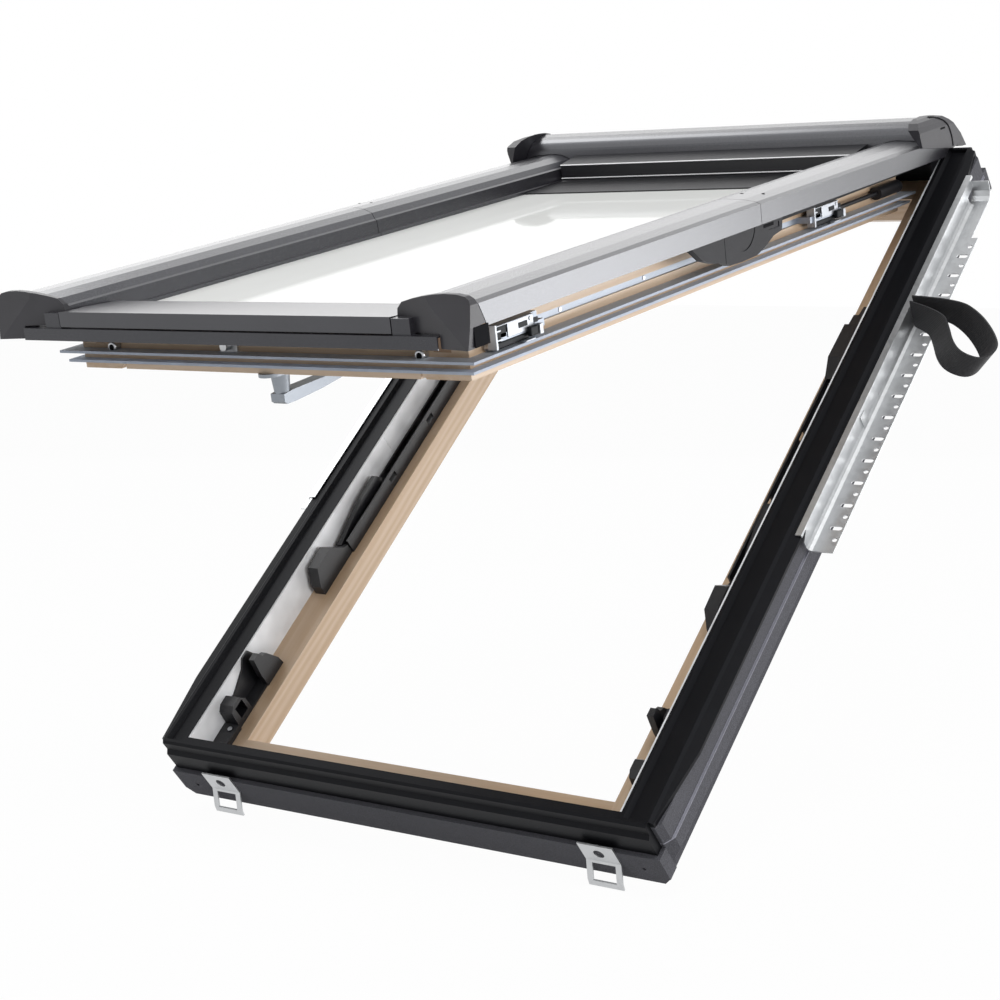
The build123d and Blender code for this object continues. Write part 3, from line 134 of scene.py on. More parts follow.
class Nodes:
    """Adds and links the nodes of one tree."""

    def __init__(self, tree):
        self.tree = tree

    def node(self, kind, inputs=None, **settings):
        """A new node: its settings first, then the values or links of its sockets."""
        made = self.tree.nodes.new(kind)
        for key, value in settings.items():
            setattr(made, key, value)
        for key, value in (inputs or {}).items():
            self.feed(made.inputs[key], value)
        return made

    def feed(self, socket, value):
        """Links a socket to another one, or sets its value."""
        if isinstance(value, Number):
            value = value.socket
        if isinstance(value, bpy.types.NodeSocket):
            self.tree.links.new(value, socket)
        else:
            socket.default_value = value


class Finish(Nodes):
    """A material with one Principled shader."""

    def __init__(self, name, colour, roughness, metallic=0.0):
        self.material = bpy.data.materials.new(name)
        self.material.use_nodes = True
        super().__init__(self.material.node_tree)
        self.shader = self.tree.nodes["Principled BSDF"]
        self.put("Base Color", (*colour, 1))
        self.put("Roughness", roughness)
        self.put("Metallic", metallic)

    def put(self, name, value):
        self.feed(self.shader.inputs[name], value)

    def place(self, pitch=0.0, scale=(1, 1, 1)):
        """Object coordinates, turned back by a pitch and then scaled."""
        points = self.node("ShaderNodeTexCoord").outputs["Object"]
        turned = self.node("ShaderNodeMapping", {"Vector": points, "Rotation": (-pitch, 0, 0)})
        scaled = self.node("ShaderNodeMapping", {"Vector": turned.outputs[0], "Scale": scale})
        return scaled.outputs[0]

    def split(self, vector):
        return [Number(self, out) for out in self.node("ShaderNodeSeparateXYZ", {0: vector}).outputs]

    def axes(self, pitch=0.0):
        return self.split(self.place(pitch))

    def noise(self, vector, scale, detail=2.0, rough=0.5):
        inputs = {"Vector": vector, "Scale": scale, "Detail": detail, "Roughness": rough}
        return Number(self, self.node("ShaderNodeTexNoise", inputs).outputs["Fac"])

    def wave(self, vector, scale, distortion, detail, detail_scale=1.0):
        """Wavy bands across the third axis."""
        inputs = {"Vector": vector, "Scale": scale, "Distortion": distortion}
        inputs.update({"Detail": detail, "Detail Scale": detail_scale})
        made = self.node("ShaderNodeTexWave", inputs, bands_direction="Z", wave_profile="SIN")
        return Number(self, made.outputs["Fac"])

    def cells(self, vector, scale):
        return self.node("ShaderNodeTexVoronoi", {"Vector": vector, "Scale": scale})

    def span(self, value, low, high, start=0.0, end=1.0):
        """A value from one range, carried over to another."""
        inputs = {"Value": value, "From Min": low, "From Max": high, "To Min": start, "To Max": end}
        return Number(self, self.node("ShaderNodeMapRange", inputs).outputs[0])

    def spread(self, noise, start=0.0, end=1.0):
        """A noise, whose values mostly lie near the middle, carried over to a range."""
        return self.span(noise, 0.3, 0.7, start, end)

    def blend(self, factor, first, second):
        """A mix of two colours, each a link or three numbers."""
        first, second = (c if isinstance(c, bpy.types.NodeSocket) else (*c, 1) for c in (first, second))
        return self.node("ShaderNodeMix", {0: factor, 6: first, 7: second}, data_type="RGBA").outputs[2]

    def shades(self, factor, colour, dark, light):
        """A mix of a darker and a lighter tone of one colour."""
        return self.blend(factor, [dark * c for c in colour], [light * c for c in colour])

    def bump(self, height, strength, distance):
        inputs = {"Height": height, "Strength": strength, "Distance": distance}
        self.put("Normal", self.node("ShaderNodeBump", inputs).outputs[0])

    def rounded(self, pitch, crest, front, back, height):
        """The normal of a rounded bar across the slope: its crest, its two depths and its height."""
        along, up = self.axes(pitch)[1:]
        across = (along - crest[0]) * (1 / front)
        behind = (along - crest[0]) * (1 / back)
        rise = (up - crest[1]) * (1 / height)
        raw = self.node("ShaderNodeCombineXYZ", {0: 0.0, 1: across.least(behind), 2: rise.most(0.05)})
        turned = self.node("ShaderNodeMapping", {"Vector": raw.outputs[0], "Rotation": (pitch, 0, 0)})
        return self.node("ShaderNodeVectorMath", {0: turned.outputs[0]}, operation="NORMALIZE").outputs[0]


# Finishes
def pine(name, pitch, across, light, dark, corners=None):
    """Lacquered pine with its grain along or across the slope, and browner wood at its ends."""
    finish = Finish(name, light, 0.42)
    stretch = (0.05, 1, 1) if across else (1, 0.05, 1)
    grain = finish.noise(finish.place(pitch, stretch), 46, 5, 0.6)
    fine = finish.noise(finish.place(pitch, [0.4 * s for s in stretch]), 900, 3, 0.6)
    rings = finish.wave(finish.place(pitch, stretch), 22, 7, 2, 1.4)
    tone = finish.span(grain * 0.6 + rings * 0.28 + fine * 0.25, 0.32, 0.82)
    colour = finish.blend(tone, dark, light)
    if corners:
        brown, start = corners
        ends = finish.axes()[0].size() > start
        colour = finish.blend(ends * 0.85, colour, finish.shades(tone, brown, 0.75, 1))
    finish.put("Base Color", colour)
    finish.put("Roughness", finish.spread(grain, 0.36, 0.52))
    finish.put("Coat Weight", 0.25)
    finish.put("Coat Roughness", 0.25)
    finish.bump(grain * 0.5 + fine * 0.5, 0.12, 0.001)
    return finish.material


def coated_metal(name, colour, roughness, specular, coat=0.0, dome=None):
    """Painted sheet metal, and a dome where the sheet is rolled finer than its mesh."""
    finish = Finish(name, colour, roughness)
    cloud = finish.noise(finish.place(), 14, 3)
    grain = finish.noise(finish.place(), 1600)
    finish.put("Base Color", finish.shades(finish.span(cloud, 0.35, 0.65), colour, 0.88, 1.12))
    finish.put("Roughness", finish.spread(grain, roughness - 0.03, roughness + 0.05))
    finish.put("Specular IOR Level", specular)
    finish.put("Specular Tint", COOL_SHEEN)
    finish.put("Coat Weight", coat)
    finish.put("Coat Roughness", 0.3)
    if dome:
        finish.put("Normal", finish.rounded(SASH_PITCH, *dome))
    else:
        finish.bump(grain, 0.04, 0.0003)
    return finish.material


def moulded(name, colour, roughness, grain_scale=700, strength=0.15, specular=0.5):
    """Moulded plastic with a fine grain."""
    finish = Finish(name, colour, roughness)
    grain = finish.noise(finish.place(), grain_scale, 3, 0.6)
    cloud = finish.noise(finish.place(), 20)
    finish.put("Base Color", finish.shades(finish.spread(cloud), colour, 0.85, 1.15))
    finish.put("Roughness", finish.spread(grain, roughness - 0.06, roughness + 0.08))
    finish.put("Specular IOR Level", specular)
    finish.bump(grain, strength, 0.0005)
    return finish.material


def foam(name, colour, seam_level, seam_half):
    """Speckled foam in beads, with one pale seam all round."""
    finish = Finish(name, colour, 0.85)
    beads = Number(finish, finish.cells(finish.place(), 420).outputs["Distance"])
    specks = finish.noise(finish.place(), 900, 2, 0.7)
    speckled = finish.shades(finish.span(specks, 0.35, 0.75), colour, 0.55, 1.7)
    seam = (finish.axes(PITCH)[2] - seam_level).size() < seam_half
    finish.put("Base Color", finish.blend(seam * 0.8, speckled, [5 * c for c in colour]))
    finish.put("Roughness", finish.spread(specks, 0.78, 0.92))
    finish.bump(beads * 0.7 + specks * 0.3, 0.35, 0.001)
    return finish.material


def zinc(name, colour, roughness, scale=160):
    """Bare metal in patches, with fine streaks up the slope."""
    finish = Finish(name, colour, roughness, 1.0)
    patch = finish.split(finish.cells(finish.place(PITCH), scale).outputs["Color"])[0]
    streak = finish.noise(finish.place(PITCH, (1, 0.08, 1)), 300, 3)
    shade = finish.span(patch * 0.5 + streak * 0.5, 0.1, 0.9)
    finish.put("Base Color", finish.shades(shade, colour, 0.94, 1.06))
    finish.put("Roughness", finish.span(patch, 0.0, 1.0, roughness - 0.02, roughness + 0.04))
    finish.bump(streak, 0.03, 0.0003)
    return finish.material


def rubber(name, colour):
    """Soft, slightly dusty rubber."""
    finish = Finish(name, colour, 0.55)
    cloud = finish.noise(finish.place(), 60, 3)
    finish.put("Base Color", finish.shades(finish.spread(cloud), colour, 0.9, 1.08))
    finish.put("Roughness", finish.spread(cloud, 0.48, 0.62))
    finish.put("Sheen Weight", 0.2)
    finish.bump(finish.noise(finish.place(), 800), 0.08, 0.0004)
    return finish.material


def woven(name, colour):
    """Webbing with threads in rows."""
    finish = Finish(name, colour, 0.6)
    threads = finish.wave(finish.place(PITCH), 150, 1.2, 1)
    fine = finish.noise(finish.place(PITCH, (1, 1, 0.3)), 1400)
    shade = finish.span(threads * 0.6 + fine * 0.4, 0.2, 0.9)
    finish.put("Base Color", finish.shades(shade, colour, 0.5, 1.6))
    finish.put("Roughness", finish.spread(fine, 0.5, 0.68))
    finish.put("Specular IOR Level", 0.35)
    finish.put("Sheen Weight", 0.08)
    finish.bump(threads, 0.35, 0.0006)
    return finish.material


def window_glass(name, colour):
    """Pale glass, which reflects little and hides what lies behind it; its pale, mostly diffuse colour is a
    painted reflection of white surroundings.
    """
    finish = Finish(name, colour, 0.0)
    haze = finish.noise(finish.place(), 8)
    finish.put("Base Color", finish.shades(finish.spread(haze), colour, 0.97, 1))
    finish.put("Roughness", finish.spread(haze, 0.02, 0.05))
    # Little transmission: the pale base colour stands in for the white that the glass reflects
    finish.put("Transmission Weight", 0.08)
    finish.put("Specular IOR Level", 0.02)
    finish.put("IOR", 1.45)
    return finish.material


def lined_panel(name, colour, pale, heights, line_half):
    """Dark sheet with a pale line at each height of the sash."""
    finish = Finish(name, colour, 0.35)
    level = finish.axes(SASH_PITCH)[2]
    lines = sum(((level - sash_level(height).y).size() < line_half for height in heights), 0.0)
    grain = finish.noise(finish.place(), 1200)
    finish.put("Base Color", finish.blend(lines, colour, pale))
    finish.put("Roughness", finish.spread(grain, 0.3, 0.42))
    finish.put("Specular IOR Level", 0.6)
    finish.bump(grain, 0.04, 0.0003)
    return finish.material


# Settings
def tone_setting(name, description, default):
    return bpy.props.FloatVectorProperty(
        name=name, description=description, subtype="COLOR", default=default, min=0, max=1)


def radius_setting(name, description, default, least):
    return bpy.props.FloatProperty(
        name=name, description=description, default=default, min=least, unit="LENGTH")


class RoofWindowColours(bpy.types.PropertyGroup):
    """Colours of the finishes"""

    pine_light: tone_setting("Pine, light", "Light tone of the wood", (0.62, 0.475, 0.345))
    pine_dark: tone_setting("Pine, dark", "Dark tone of the wood's grain", (0.50, 0.345, 0.215))
    corner_brown: tone_setting("Corner wood", "Browner wood of the jointed sash corners", (0.32, 0.17, 0.08))
    covers: tone_setting("Covers", "Painted aluminium covers", (0.020, 0.019, 0.023))
    frame_cap: tone_setting("Frame cap", "Black ring on the frame", (0.004, 0.004, 0.005))
    plastic: tone_setting("Plastic", "Black moulded fittings", (0.008, 0.008, 0.010))
    caps: tone_setting("End caps", "Moulded caps of the covers", (0.026, 0.025, 0.030))
    lining: tone_setting("Lining", "Pale lining of the jambs", (0.76, 0.77, 0.79))
    insulation: tone_setting("Insulation", "Speckled foam block", (0.060, 0.060, 0.070))
    steel: tone_setting("Steel", "Zinc coated brackets and clips", (0.54, 0.55, 0.56))
    gasket: tone_setting("Gaskets", "Pale rubber gaskets", (0.42, 0.47, 0.56))
    webbing: tone_setting("Webbing", "Carrying strap", (0.009, 0.009, 0.011))
    # The panes' pale colour is a painted reflection of white surroundings
    glass: tone_setting("Glass", "Tint of the panes", (0.97, 0.975, 0.95))
    handle: tone_setting("Handle", "Satin metal of the handle", (0.27, 0.29, 0.32))


class RoofWindowSizes(bpy.types.PropertyGroup):
    """Sizes of the small fittings"""

    screw: radius_setting("Screw head", "Radius of the small screw heads", 0.0035, 0.001)
    stud: radius_setting("Stud", "Radius of the bright studs under the sash", 0.0065, 0.001)
    # The small holes are drawn as dark discs of painted shade; this sets their radius
    hole: radius_setting("Small hole", "Radius of the small dark holes in the covers", 0.0022, 0.0005)


def chosen(name):
    """The colour that the settings give a finish."""
    return tuple(getattr(bpy.context.scene.roof_window_colours, name))


def coat(material, *names):
    """Gives nodes of the part one material."""
    for name in names:
        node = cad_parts[name]
        node.data.materials.clear()
        node.data.materials.append(material)


def both(name):
    """The names of a node on the left and on the right."""
    return [f"{name}_{side}" for side, _ in SIDES]


# Shapes
def add_piece(name, mesh_build, material, place):
    """Makes one object from a bmesh, with its place in its mesh."""
    bm = bmesh.new()
    mesh_build(bm)
    bmesh.ops.recalc_face_normals(bm, faces=bm.faces[:])
    bm.transform(place)
    mesh = bpy.data.meshes.new(name)
    bm.to_mesh(mesh)
    bm.free()
    mesh.materials.append(material)
    piece = bpy.data.objects.new(name, mesh)
    bpy.context.scene.collection.objects.link(piece)
    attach(piece, BODY)
    return piece


def geometry(bm):
    return bm.faces[:] + bm.edges[:] + bm.verts[:]


def soften(bm, edges, offset):
    """Rounds edges in two steps."""
    bmesh.ops.bevel(
        bm, geom=edges, offset=offset, offset_type="OFFSET", segments=2, profile=0.5, affect="EDGES", material=-1)


def smooth(bm, angle):
    """Rounds the shading, except at edges sharper than the angle in degrees."""
    for face in bm.faces:
        face.smooth = True
    for edge in bm.edges:
        edge.smooth = edge.calc_face_angle(0.0) < radians(angle)


def side_block(bm, way, xs, ys, zs, bevel):
    """A box with softened edges on one side, from its ranges on the right."""
    ends = sorted(way * x for x in xs)
    low, high = Vector((ends[0], ys[0], zs[0])), Vector((ends[1], ys[1], zs[1]))
    made = bmesh.ops.create_cube(bm, size=1.0)
    bmesh.ops.scale(bm, vec=high - low, verts=made["verts"])
    bmesh.ops.translate(bm, vec=(low + high) / 2, verts=made["verts"])
    soften(bm, list({e for v in made["verts"] for e in v.link_edges}), bevel)


def side_disc(bm, way, foot, turn, radius, depth, bevel):
    """A short round bar with softened rims on one side, from its foot on the right."""
    centre = (way * foot[0], foot[1], foot[2])
    place = Matrix.Translation(centre) @ turn @ Matrix.Translation((0, 0, depth / 2))
    made = bmesh.ops.create_cone(
        bm, cap_ends=True, segments=ROUND_SIDES, radius1=radius, radius2=radius, depth=depth, matrix=place)
    rim = [f for f in {f for v in made["verts"] for f in v.link_faces} if len(f.verts) > 4]
    soften(bm, list({e for f in rim for e in f.edges}), bevel)


def sideways(way):
    """The turn that lays a round bar towards one side."""
    return Matrix.Rotation(radians(90 * way), 4, "Y")


# Steps
class RoofWindowWood(bpy.types.Operator):
    """Gives the frame and the sash their pine"""

    bl_idname = "roof_window.wood"
    bl_label = "Wood"

    CORNER_START = 0.237

    def execute(self, context):
        tones = chosen("pine_light"), chosen("pine_dark")
        corners = chosen("corner_brown"), self.CORNER_START
        coat(pine("frame pine up the slope", PITCH, False, *tones), "frame_left_jamb", "frame_right_jamb")
        coat(pine("frame pine across", PITCH, True, *tones), "frame_bottom_rail", "frame_head_rail")
        coat(pine("sash pine up the slope", SASH_PITCH, False, *tones), "sash_left_stile", "sash_right_stile")
        coat(pine("sash pine across", SASH_PITCH, True, *tones, corners), "sash_bottom_rail", "sash_top_rail")
        return {"FINISHED"}


class RoofWindowMetal(bpy.types.Operator):
    """Gives the covers, the frame cap and the steel pieces their finish"""

    bl_idname = "roof_window.metal"
    bl_label = "Metal"

    # The hood's crest, as height and place up the slope, its depths to the front and the back, and its rise
    CREST, CREST_FRONT, CREST_BACK, CREST_RISE = (0.036, 1.132), 0.024, 0.090, 0.018
    PANEL_BLACK, PANEL_PALE = (0.006, 0.006, 0.008), (0.75, 0.75, 0.76)
    PANEL_LINES, PANEL_LINE_HALF = (0.00125, 0.02125), 0.0011
    LOCK_STEEL, SPACER_GREY = (0.36, 0.39, 0.44), (0.6, 0.61, 0.63)

    def execute(self, context):
        self.covers(chosen("covers"))
        coat(coated_metal("black profile", chosen("frame_cap"), 0.45, 0.13), "frame_cap", *both("hinge_arm"))
        steel = zinc("zinc coated steel", chosen("steel"), 0.4)
        coat(steel, *both("side_bracket"), *both("head_bracket"), *both("foot_clip"), "bottom_catch")
        coat(zinc("lock bar steel", self.LOCK_STEEL, 0.5), *both("lock_bar"))
        coat(zinc("spacer metal", self.SPACER_GREY, 0.35, 60), "glass_spacer")
        coat(zinc("handle metal", chosen("handle"), 0.42, 40), "handle_rose", "handle_lever")
        return {"FINISHED"}

    def covers(self, paint):
        sides = coated_metal("painted aluminium", paint, 0.24, 1.0, 0.6)
        coat(sides, *both("lower_cover"), *both("upper_cover"))
        coat(coated_metal("band aluminium", paint, 0.24, 0.5, 0.35), "bottom_band")
        coat(coated_metal("glossier aluminium", paint, 0.2, 0.6, 0.6), "bottom_cover")
        dome = (sash_level(*self.CREST), self.CREST_FRONT, self.CREST_BACK, self.CREST_RISE)
        coat(coated_metal("rounded aluminium", paint, 0.28, 1.0, 1.0, dome), "hood")
        panel = lined_panel(
            "lined panel", self.PANEL_BLACK, self.PANEL_PALE, self.PANEL_LINES, self.PANEL_LINE_HALF)
        coat(panel, "top_panel")


class RoofWindowPlastic(bpy.types.Operator):
    """Gives the mouldings, linings, gaskets and foam their finish"""

    bl_idname = "roof_window.plastic"
    bl_label = "Plastic, rubber and foam"

    FITTINGS = ("corner_plate", "lower_catch", "stay_rail", "stay_arm", "lift_rod")
    PIVOT_BLACK = (0.012, 0.012, 0.015)
    FOAM_SEAM, FOAM_SEAM_HALF = 0.066, 0.0008

    def execute(self, context):
        black = moulded("black plastic", chosen("plastic"), 0.42)
        for name in self.FITTINGS:
            coat(black, *both(name))
        coat(moulded("cap plastic", chosen("caps"), 0.36), *both("end_cap"), *both("hood_cap"))
        coat(moulded("pivot plastic", self.PIVOT_BLACK, 0.4, specular=0.14), *both("pivot_cover"))
        coat(moulded("lining plastic", chosen("lining"), 0.45, 500, 0.05), *both("lining"))
        speckled = foam("speckled foam", chosen("insulation"), self.FOAM_SEAM, self.FOAM_SEAM_HALF)
        coat(speckled, "insulation_block")
        coat(rubber("pale rubber", chosen("gasket")), "sash_gasket_upper", "sash_gasket_lower")
        return {"FINISHED"}


class RoofWindowStrap(bpy.types.Operator):
    """Replaces the carrying strap with a smooth loop of webbing"""

    bl_idname = "roof_window.strap"
    bl_label = "Carrying strap"

    # The plane of the loop's feet, its place up the slope, reach, drop and depth in the frame, and its lean
    FOOT_X, MIDDLE_U, REACH, DROP, BASE_N = 0.3916, 0.862, 0.115, 0.109, -0.030
    LEAN, THICKNESS = Vector((0.030, 0, 0.0344)), 0.0022
    # The line of the loop, in shares of the reach and the drop
    LOOP = (
        (-0.26, -0.07), (0.20, -0.24), (0.35, -0.50), (0.48, -0.77), (0.66, -0.96), (0.95, -1.06), (1.07, -0.86),
        (0.93, -0.58), (0.66, -0.25), (0.32, -0.01), (-0.26, 0.04))

    def execute(self, context):
        webbing = woven("strap webbing", chosen("webbing"))
        piece = add_piece("strap_loop", self.loop, webbing, FRAME_PLACE)
        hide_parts("carrying_strap")
        return {"FINISHED"}

    def loop(self, bm):
        bm.from_mesh(self.line())
        grown = bmesh.ops.extrude_edge_only(bm, edges=bm.edges[:])["geom"]
        bmesh.ops.translate(bm, vec=self.LEAN, verts=[v for v in grown if isinstance(v, bmesh.types.BMVert)])
        bmesh.ops.recalc_face_normals(bm, faces=bm.faces[:])
        bmesh.ops.solidify(bm, geom=geometry(bm), thickness=self.THICKNESS)
        cut = bmesh.ops.bisect_plane(
            bm, geom=geometry(bm), plane_co=(self.FOOT_X, 0, 0), plane_no=(1, 0, 0), clear_inner=True)
        bmesh.ops.holes_fill(bm, edges=[e for e in cut["geom_cut"] if isinstance(e, bmesh.types.BMEdge)])
        smooth(bm, 35)

    def line(self):
        """The loop's line as a mesh, from a curve through the shares."""
        curve = bpy.data.curves.new("strap line", "CURVE")
        curve.dimensions = "3D"
        curve.resolution_u = 8
        spline = curve.splines.new("NURBS")
        spline.points.add(len(self.LOOP) - 1)
        for point, (out, along) in zip(spline.points, self.LOOP):
            point.co = (self.FOOT_X + out * self.REACH, self.MIDDLE_U + along * self.DROP, self.BASE_N, 1)
        spline.order_u = 3
        spline.use_endpoint_u = True
        carrier = bpy.data.objects.new("strap line", curve)
        mesh = bpy.data.meshes.new_from_object(carrier)
        bpy.data.objects.remove(carrier)
        return mesh


class RoofWindowGlass(bpy.types.Operator):
    """Gives the panes their glass"""

    bl_idname = "roof_window.glass"
    bl_label = "Glass"

    def execute(self, context):
        coat(window_glass("clear glass", chosen("glass")), "outer_pane", "inner_pane")
        return {"FINISHED"}


class RoofWindowScrews(bpy.types.Operator):
    """Adds the screws and studs, and painted shade in the studs' hollows, the small holes and the pivot slot"""

    bl_idname = "roof_window.screws"
    bl_label = "Screws, studs and holes"

    STEEL = (0.50, 0.51, 0.53)
    # Feet of the round pieces on the right
    CORNER_SCREW = (0.315, 0.058, -0.0392)
    LOW_STUD, LOW_CORE = (0.225, 0.0615, -0.040), (0.225, 0.0517, -0.040)
    SIDE_STUD, SIDE_CORE = (0.282, 0.0915, -0.0380), (0.2938, 0.0915, -0.0380)
    BAR_SCREWS = ((0.2794, 0.24, -0.029), (0.2794, 0.42, -0.029), (0.2794, 0.56, -0.029), (0.2794, 0.70, -0.029))
    COVER_HOLES = ((0.2925, 0.6465, 0.0328), (0.3188, 0.653, 0.0312))
    # Ranges across, up the slope and outwards
    PIVOT_SLOT = ((0.3380, 0.3386), (0.611, 0.637), (-0.0050, -0.0010))

    def execute(self, context):
        sizes = context.scene.roof_window_sizes
        steel = zinc("bright screws", self.STEEL, 0.3, 300)
        # Painted shade: dark discs and a dark box stand in for the shade inside the studs' hollows, the small
        # holes in the covers and the pivot slot
        dark = coated_metal("stud core", SHADOW, 0.6, 0.05)
        for side, way in SIDES:
            add_piece(
                f"corner_screw_{side}", lambda bm: self.screw(bm, way, sizes.screw), steel, FRAME_PLACE)
            add_piece(
                f"stud_{side}", lambda bm: self.studs(bm, way, sizes.screw, sizes.stud), steel,
                SASH_PLACE)
            add_piece(
                f"small_holes_{side}", lambda bm: self.shade_in_hollows(bm, way, sizes.stud, sizes.hole), dark,
                SASH_PLACE)
        return {"FINISHED"}

    def screw(self, bm, way, head):
        side_disc(bm, way, self.CORNER_SCREW, UP, head, 0.0012, 0.0004)

    def studs(self, bm, way, head, stud):
        side_disc(bm, way, self.LOW_STUD, DOWN_SLOPE, stud, 0.010, 0.0015)
        side_disc(bm, way, self.SIDE_STUD, sideways(way), 0.7 * stud, 0.012, 0.001)
        for foot in self.BAR_SCREWS:
            side_disc(bm, way, foot, sideways(way), 0.8 * head, 0.0009, 0.0003)

    # Dark discs and a box of painted shade in the studs' hollows, the covers' small holes and the pivot slot
    def shade_in_hollows(self, bm, way, stud, hole):
        side_disc(bm, way, self.LOW_CORE, DOWN_SLOPE, 0.55 * stud, 0.0008, 0.0002)
        side_disc(bm, way, self.SIDE_CORE, sideways(way), 0.35 * stud, 0.0006, 0.0002)
        for foot in self.COVER_HOLES:
            side_disc(bm, way, foot, UP, hole, 0.0003, 0.0001)
        side_block(bm, way, *self.PIVOT_SLOT, 0.0002)


class RoofWindowLocks(bpy.types.Operator):
    """Adds the plates and levers of the locks on the sash's sides, with painted shadows by the levers"""

    bl_idname = "roof_window.locks"
    bl_label = "Locks"

    BRIGHT, DARK = (0.46, 0.48, 0.51), (0.008, 0.009, 0.010)
    UPPER_LOCK = 0.735
    RIVET, RIVET_RADIUS, PLATE_EDGE = (0.3012, 0.150, -0.0195), 0.0022, 0.0004
    # Ranges across, up the slope and outwards, of the lower lock on the right
    PLATE = (
        ((0.3002, 0.3012), (0.108, 0.156), (-0.0310, -0.0150)),
        ((0.2912, 0.3026), (0.086, 0.156), (-0.0163, -0.0150)),
        ((0.2912, 0.3030), (0.083, 0.0860), (-0.0400, -0.0135)),
        ((0.2912, 0.3010), (0.086, 0.096), (-0.0225, -0.0205)),
        ((0.2912, 0.3010), (0.086, 0.099), (-0.0320, -0.0302)),
        ((0.3000, 0.3080), (0.130, 0.148), (-0.0410, -0.0395)),
        ((0.3012, 0.3085), (0.157, 0.163), (-0.0380, -0.0270)))
    # The same of its lever and of the painted shadows by it, with the rounding of their edges
    LEVER = (
        ((0.3013, 0.3018), (0.128, 0.144), (-0.0258, -0.0200), 0.0001),
        ((0.3001, 0.3004), (0.158, 0.166), (-0.0262, -0.0205), 0.0001),
        ((0.3013, 0.3070), (0.142, 0.156), (-0.0375, -0.0275), 0.0012),
        ((0.2920, 0.3000), (0.086, 0.148), (-0.0405, -0.0330), 0.0015),
        ((0.2913, 0.3000), (0.087, 0.107), (-0.0300, -0.0170), 0.0008))

    def execute(self, context):
        bright = zinc("lock plate", self.BRIGHT, 0.45, 260)
        # Painted shadow: the levers' black finish also colours boxes that stand in for the shade by the levers
        dark = coated_metal("lock shadow", self.DARK, 0.4, 0.15)
        for side, way in SIDES:
            for end, start in ((side, 0.0), (f"upper_{side}", self.UPPER_LOCK)):
                add_piece(
                    f"lock_plate_{end}", lambda bm: self.plate(bm, way, start), bright, SASH_PLACE)
                add_piece(
                    f"lock_lever_{end}", lambda bm: self.lever(bm, way, start), dark, SASH_PLACE)
        return {"FINISHED"}

    def box(self, bm, way, start, xs, us, ns, bevel):
        side_block(bm, way, xs, [u + start for u in us], ns, bevel)

    def plate(self, bm, way, start):
        for ranges in self.PLATE:
            self.box(bm, way, start, *ranges, self.PLATE_EDGE)
        x, u, n = self.RIVET
        side_disc(bm, way, (x, u + start, n), sideways(way), self.RIVET_RADIUS, 0.0010, 0.0003)

    def lever(self, bm, way, start):
        for ranges in self.LEVER:
            self.box(bm, way, start, *ranges)


class RoofWindowSeams(bpy.types.Operator):
    """Adds painted shade in the seams and slots of the caps and in the end cap's recess, and the ends of the
    bottom cover
    """

    bl_idname = "roof_window.seams"
    bl_label = "Seams and cover ends"

    # The seam's face, centre, radius, width and depth, and how far it turns round the hood's cap
    SEAM_X, CENTRE_U, CENTRE_N, SEAM_RADIUS = 0.3463, 1.124, 0.009, 0.053
    SEAM_WIDTH, SEAM_DEPTH, SEAM_TURN, SEAM_STEPS = 0.0024, 0.0008, radians(-84), 28
    # Heights on the cap, and how far its dome lies inside its side face there
    DOME = ((0.0465, 0.0), (0.0535, 0.002), (0.0595, 0.007), (0.0625, 0.014))
    # Outer face, and ranges up the slope and outwards, of the slot beside the seam and the end cap's recess
    SLOTS = ((0.3463, (1.136, 1.152), (0.0425, 0.0453)), (0.3405, (-0.004, 0.0215), (-0.0172, 0.0035)))
    SLOT_DEPTH = 0.0015
    COVER_END = ((0.2405, 0.2640), (-0.0078, 0.010), (-0.0068, 0.0125))

    def execute(self, context):
        # Painted shade: dark strips and boxes stand in for the shade in the caps' seams, slots and recess
        dark = coated_metal("seam shadow", SHADOW, 0.6, 0.05)
        paint = coated_metal("cover end aluminium", chosen("covers"), 0.24, 0.5, 0.35)
        for side, way in SIDES:
            add_piece(f"hood_seam_{side}", lambda bm: self.seam(bm, way), dark, SASH_PLACE)
            add_piece(f"cover_end_{side}", lambda bm: self.cover_end(bm, way), paint, SASH_PLACE)
        return {"FINISHED"}

    def cover_end(self, bm, way):
        side_block(bm, way, *self.COVER_END, 0.0004)

    # A dark strip of painted shade along the seam round the hood's cap, and dark boxes in the slot and the recess
    def seam(self, bm, way):
        made = bmesh.ops.create_grid(bm, x_segments=1, y_segments=1, size=0.5)
        bmesh.ops.scale(bm, vec=(self.SEAM_DEPTH, self.SEAM_WIDTH, 1), verts=made["verts"])
        bmesh.ops.rotate(bm, cent=(0, 0, 0), matrix=Matrix.Rotation(radians(90), 3, "X"), verts=made["verts"])
        top = (way * self.SEAM_X, self.CENTRE_U, self.CENTRE_N + self.SEAM_RADIUS)
        bmesh.ops.translate(bm, vec=top, verts=made["verts"])
        bmesh.ops.spin(
            bm, geom=geometry(bm), cent=(0, self.CENTRE_U, self.CENTRE_N), axis=(1, 0, 0), angle=self.SEAM_TURN,
            steps=self.SEAM_STEPS, use_duplicate=False)
        for vert in bm.verts:
            vert.co.x -= way * self.recess(vert.co.z)
        for face, us, ns in self.SLOTS:
            side_block(bm, way, (face - self.SLOT_DEPTH, face), us, ns, 0.0003)

    def recess(self, height):
        """How far the cap's dome lies inside its side face at a height."""
        for (low, near), (high, far) in zip(self.DOME, self.DOME[1:]):
            if height <= high:
                return near + (far - near) * max(0.0, height - low) / (high - low)
        return self.DOME[-1][1]


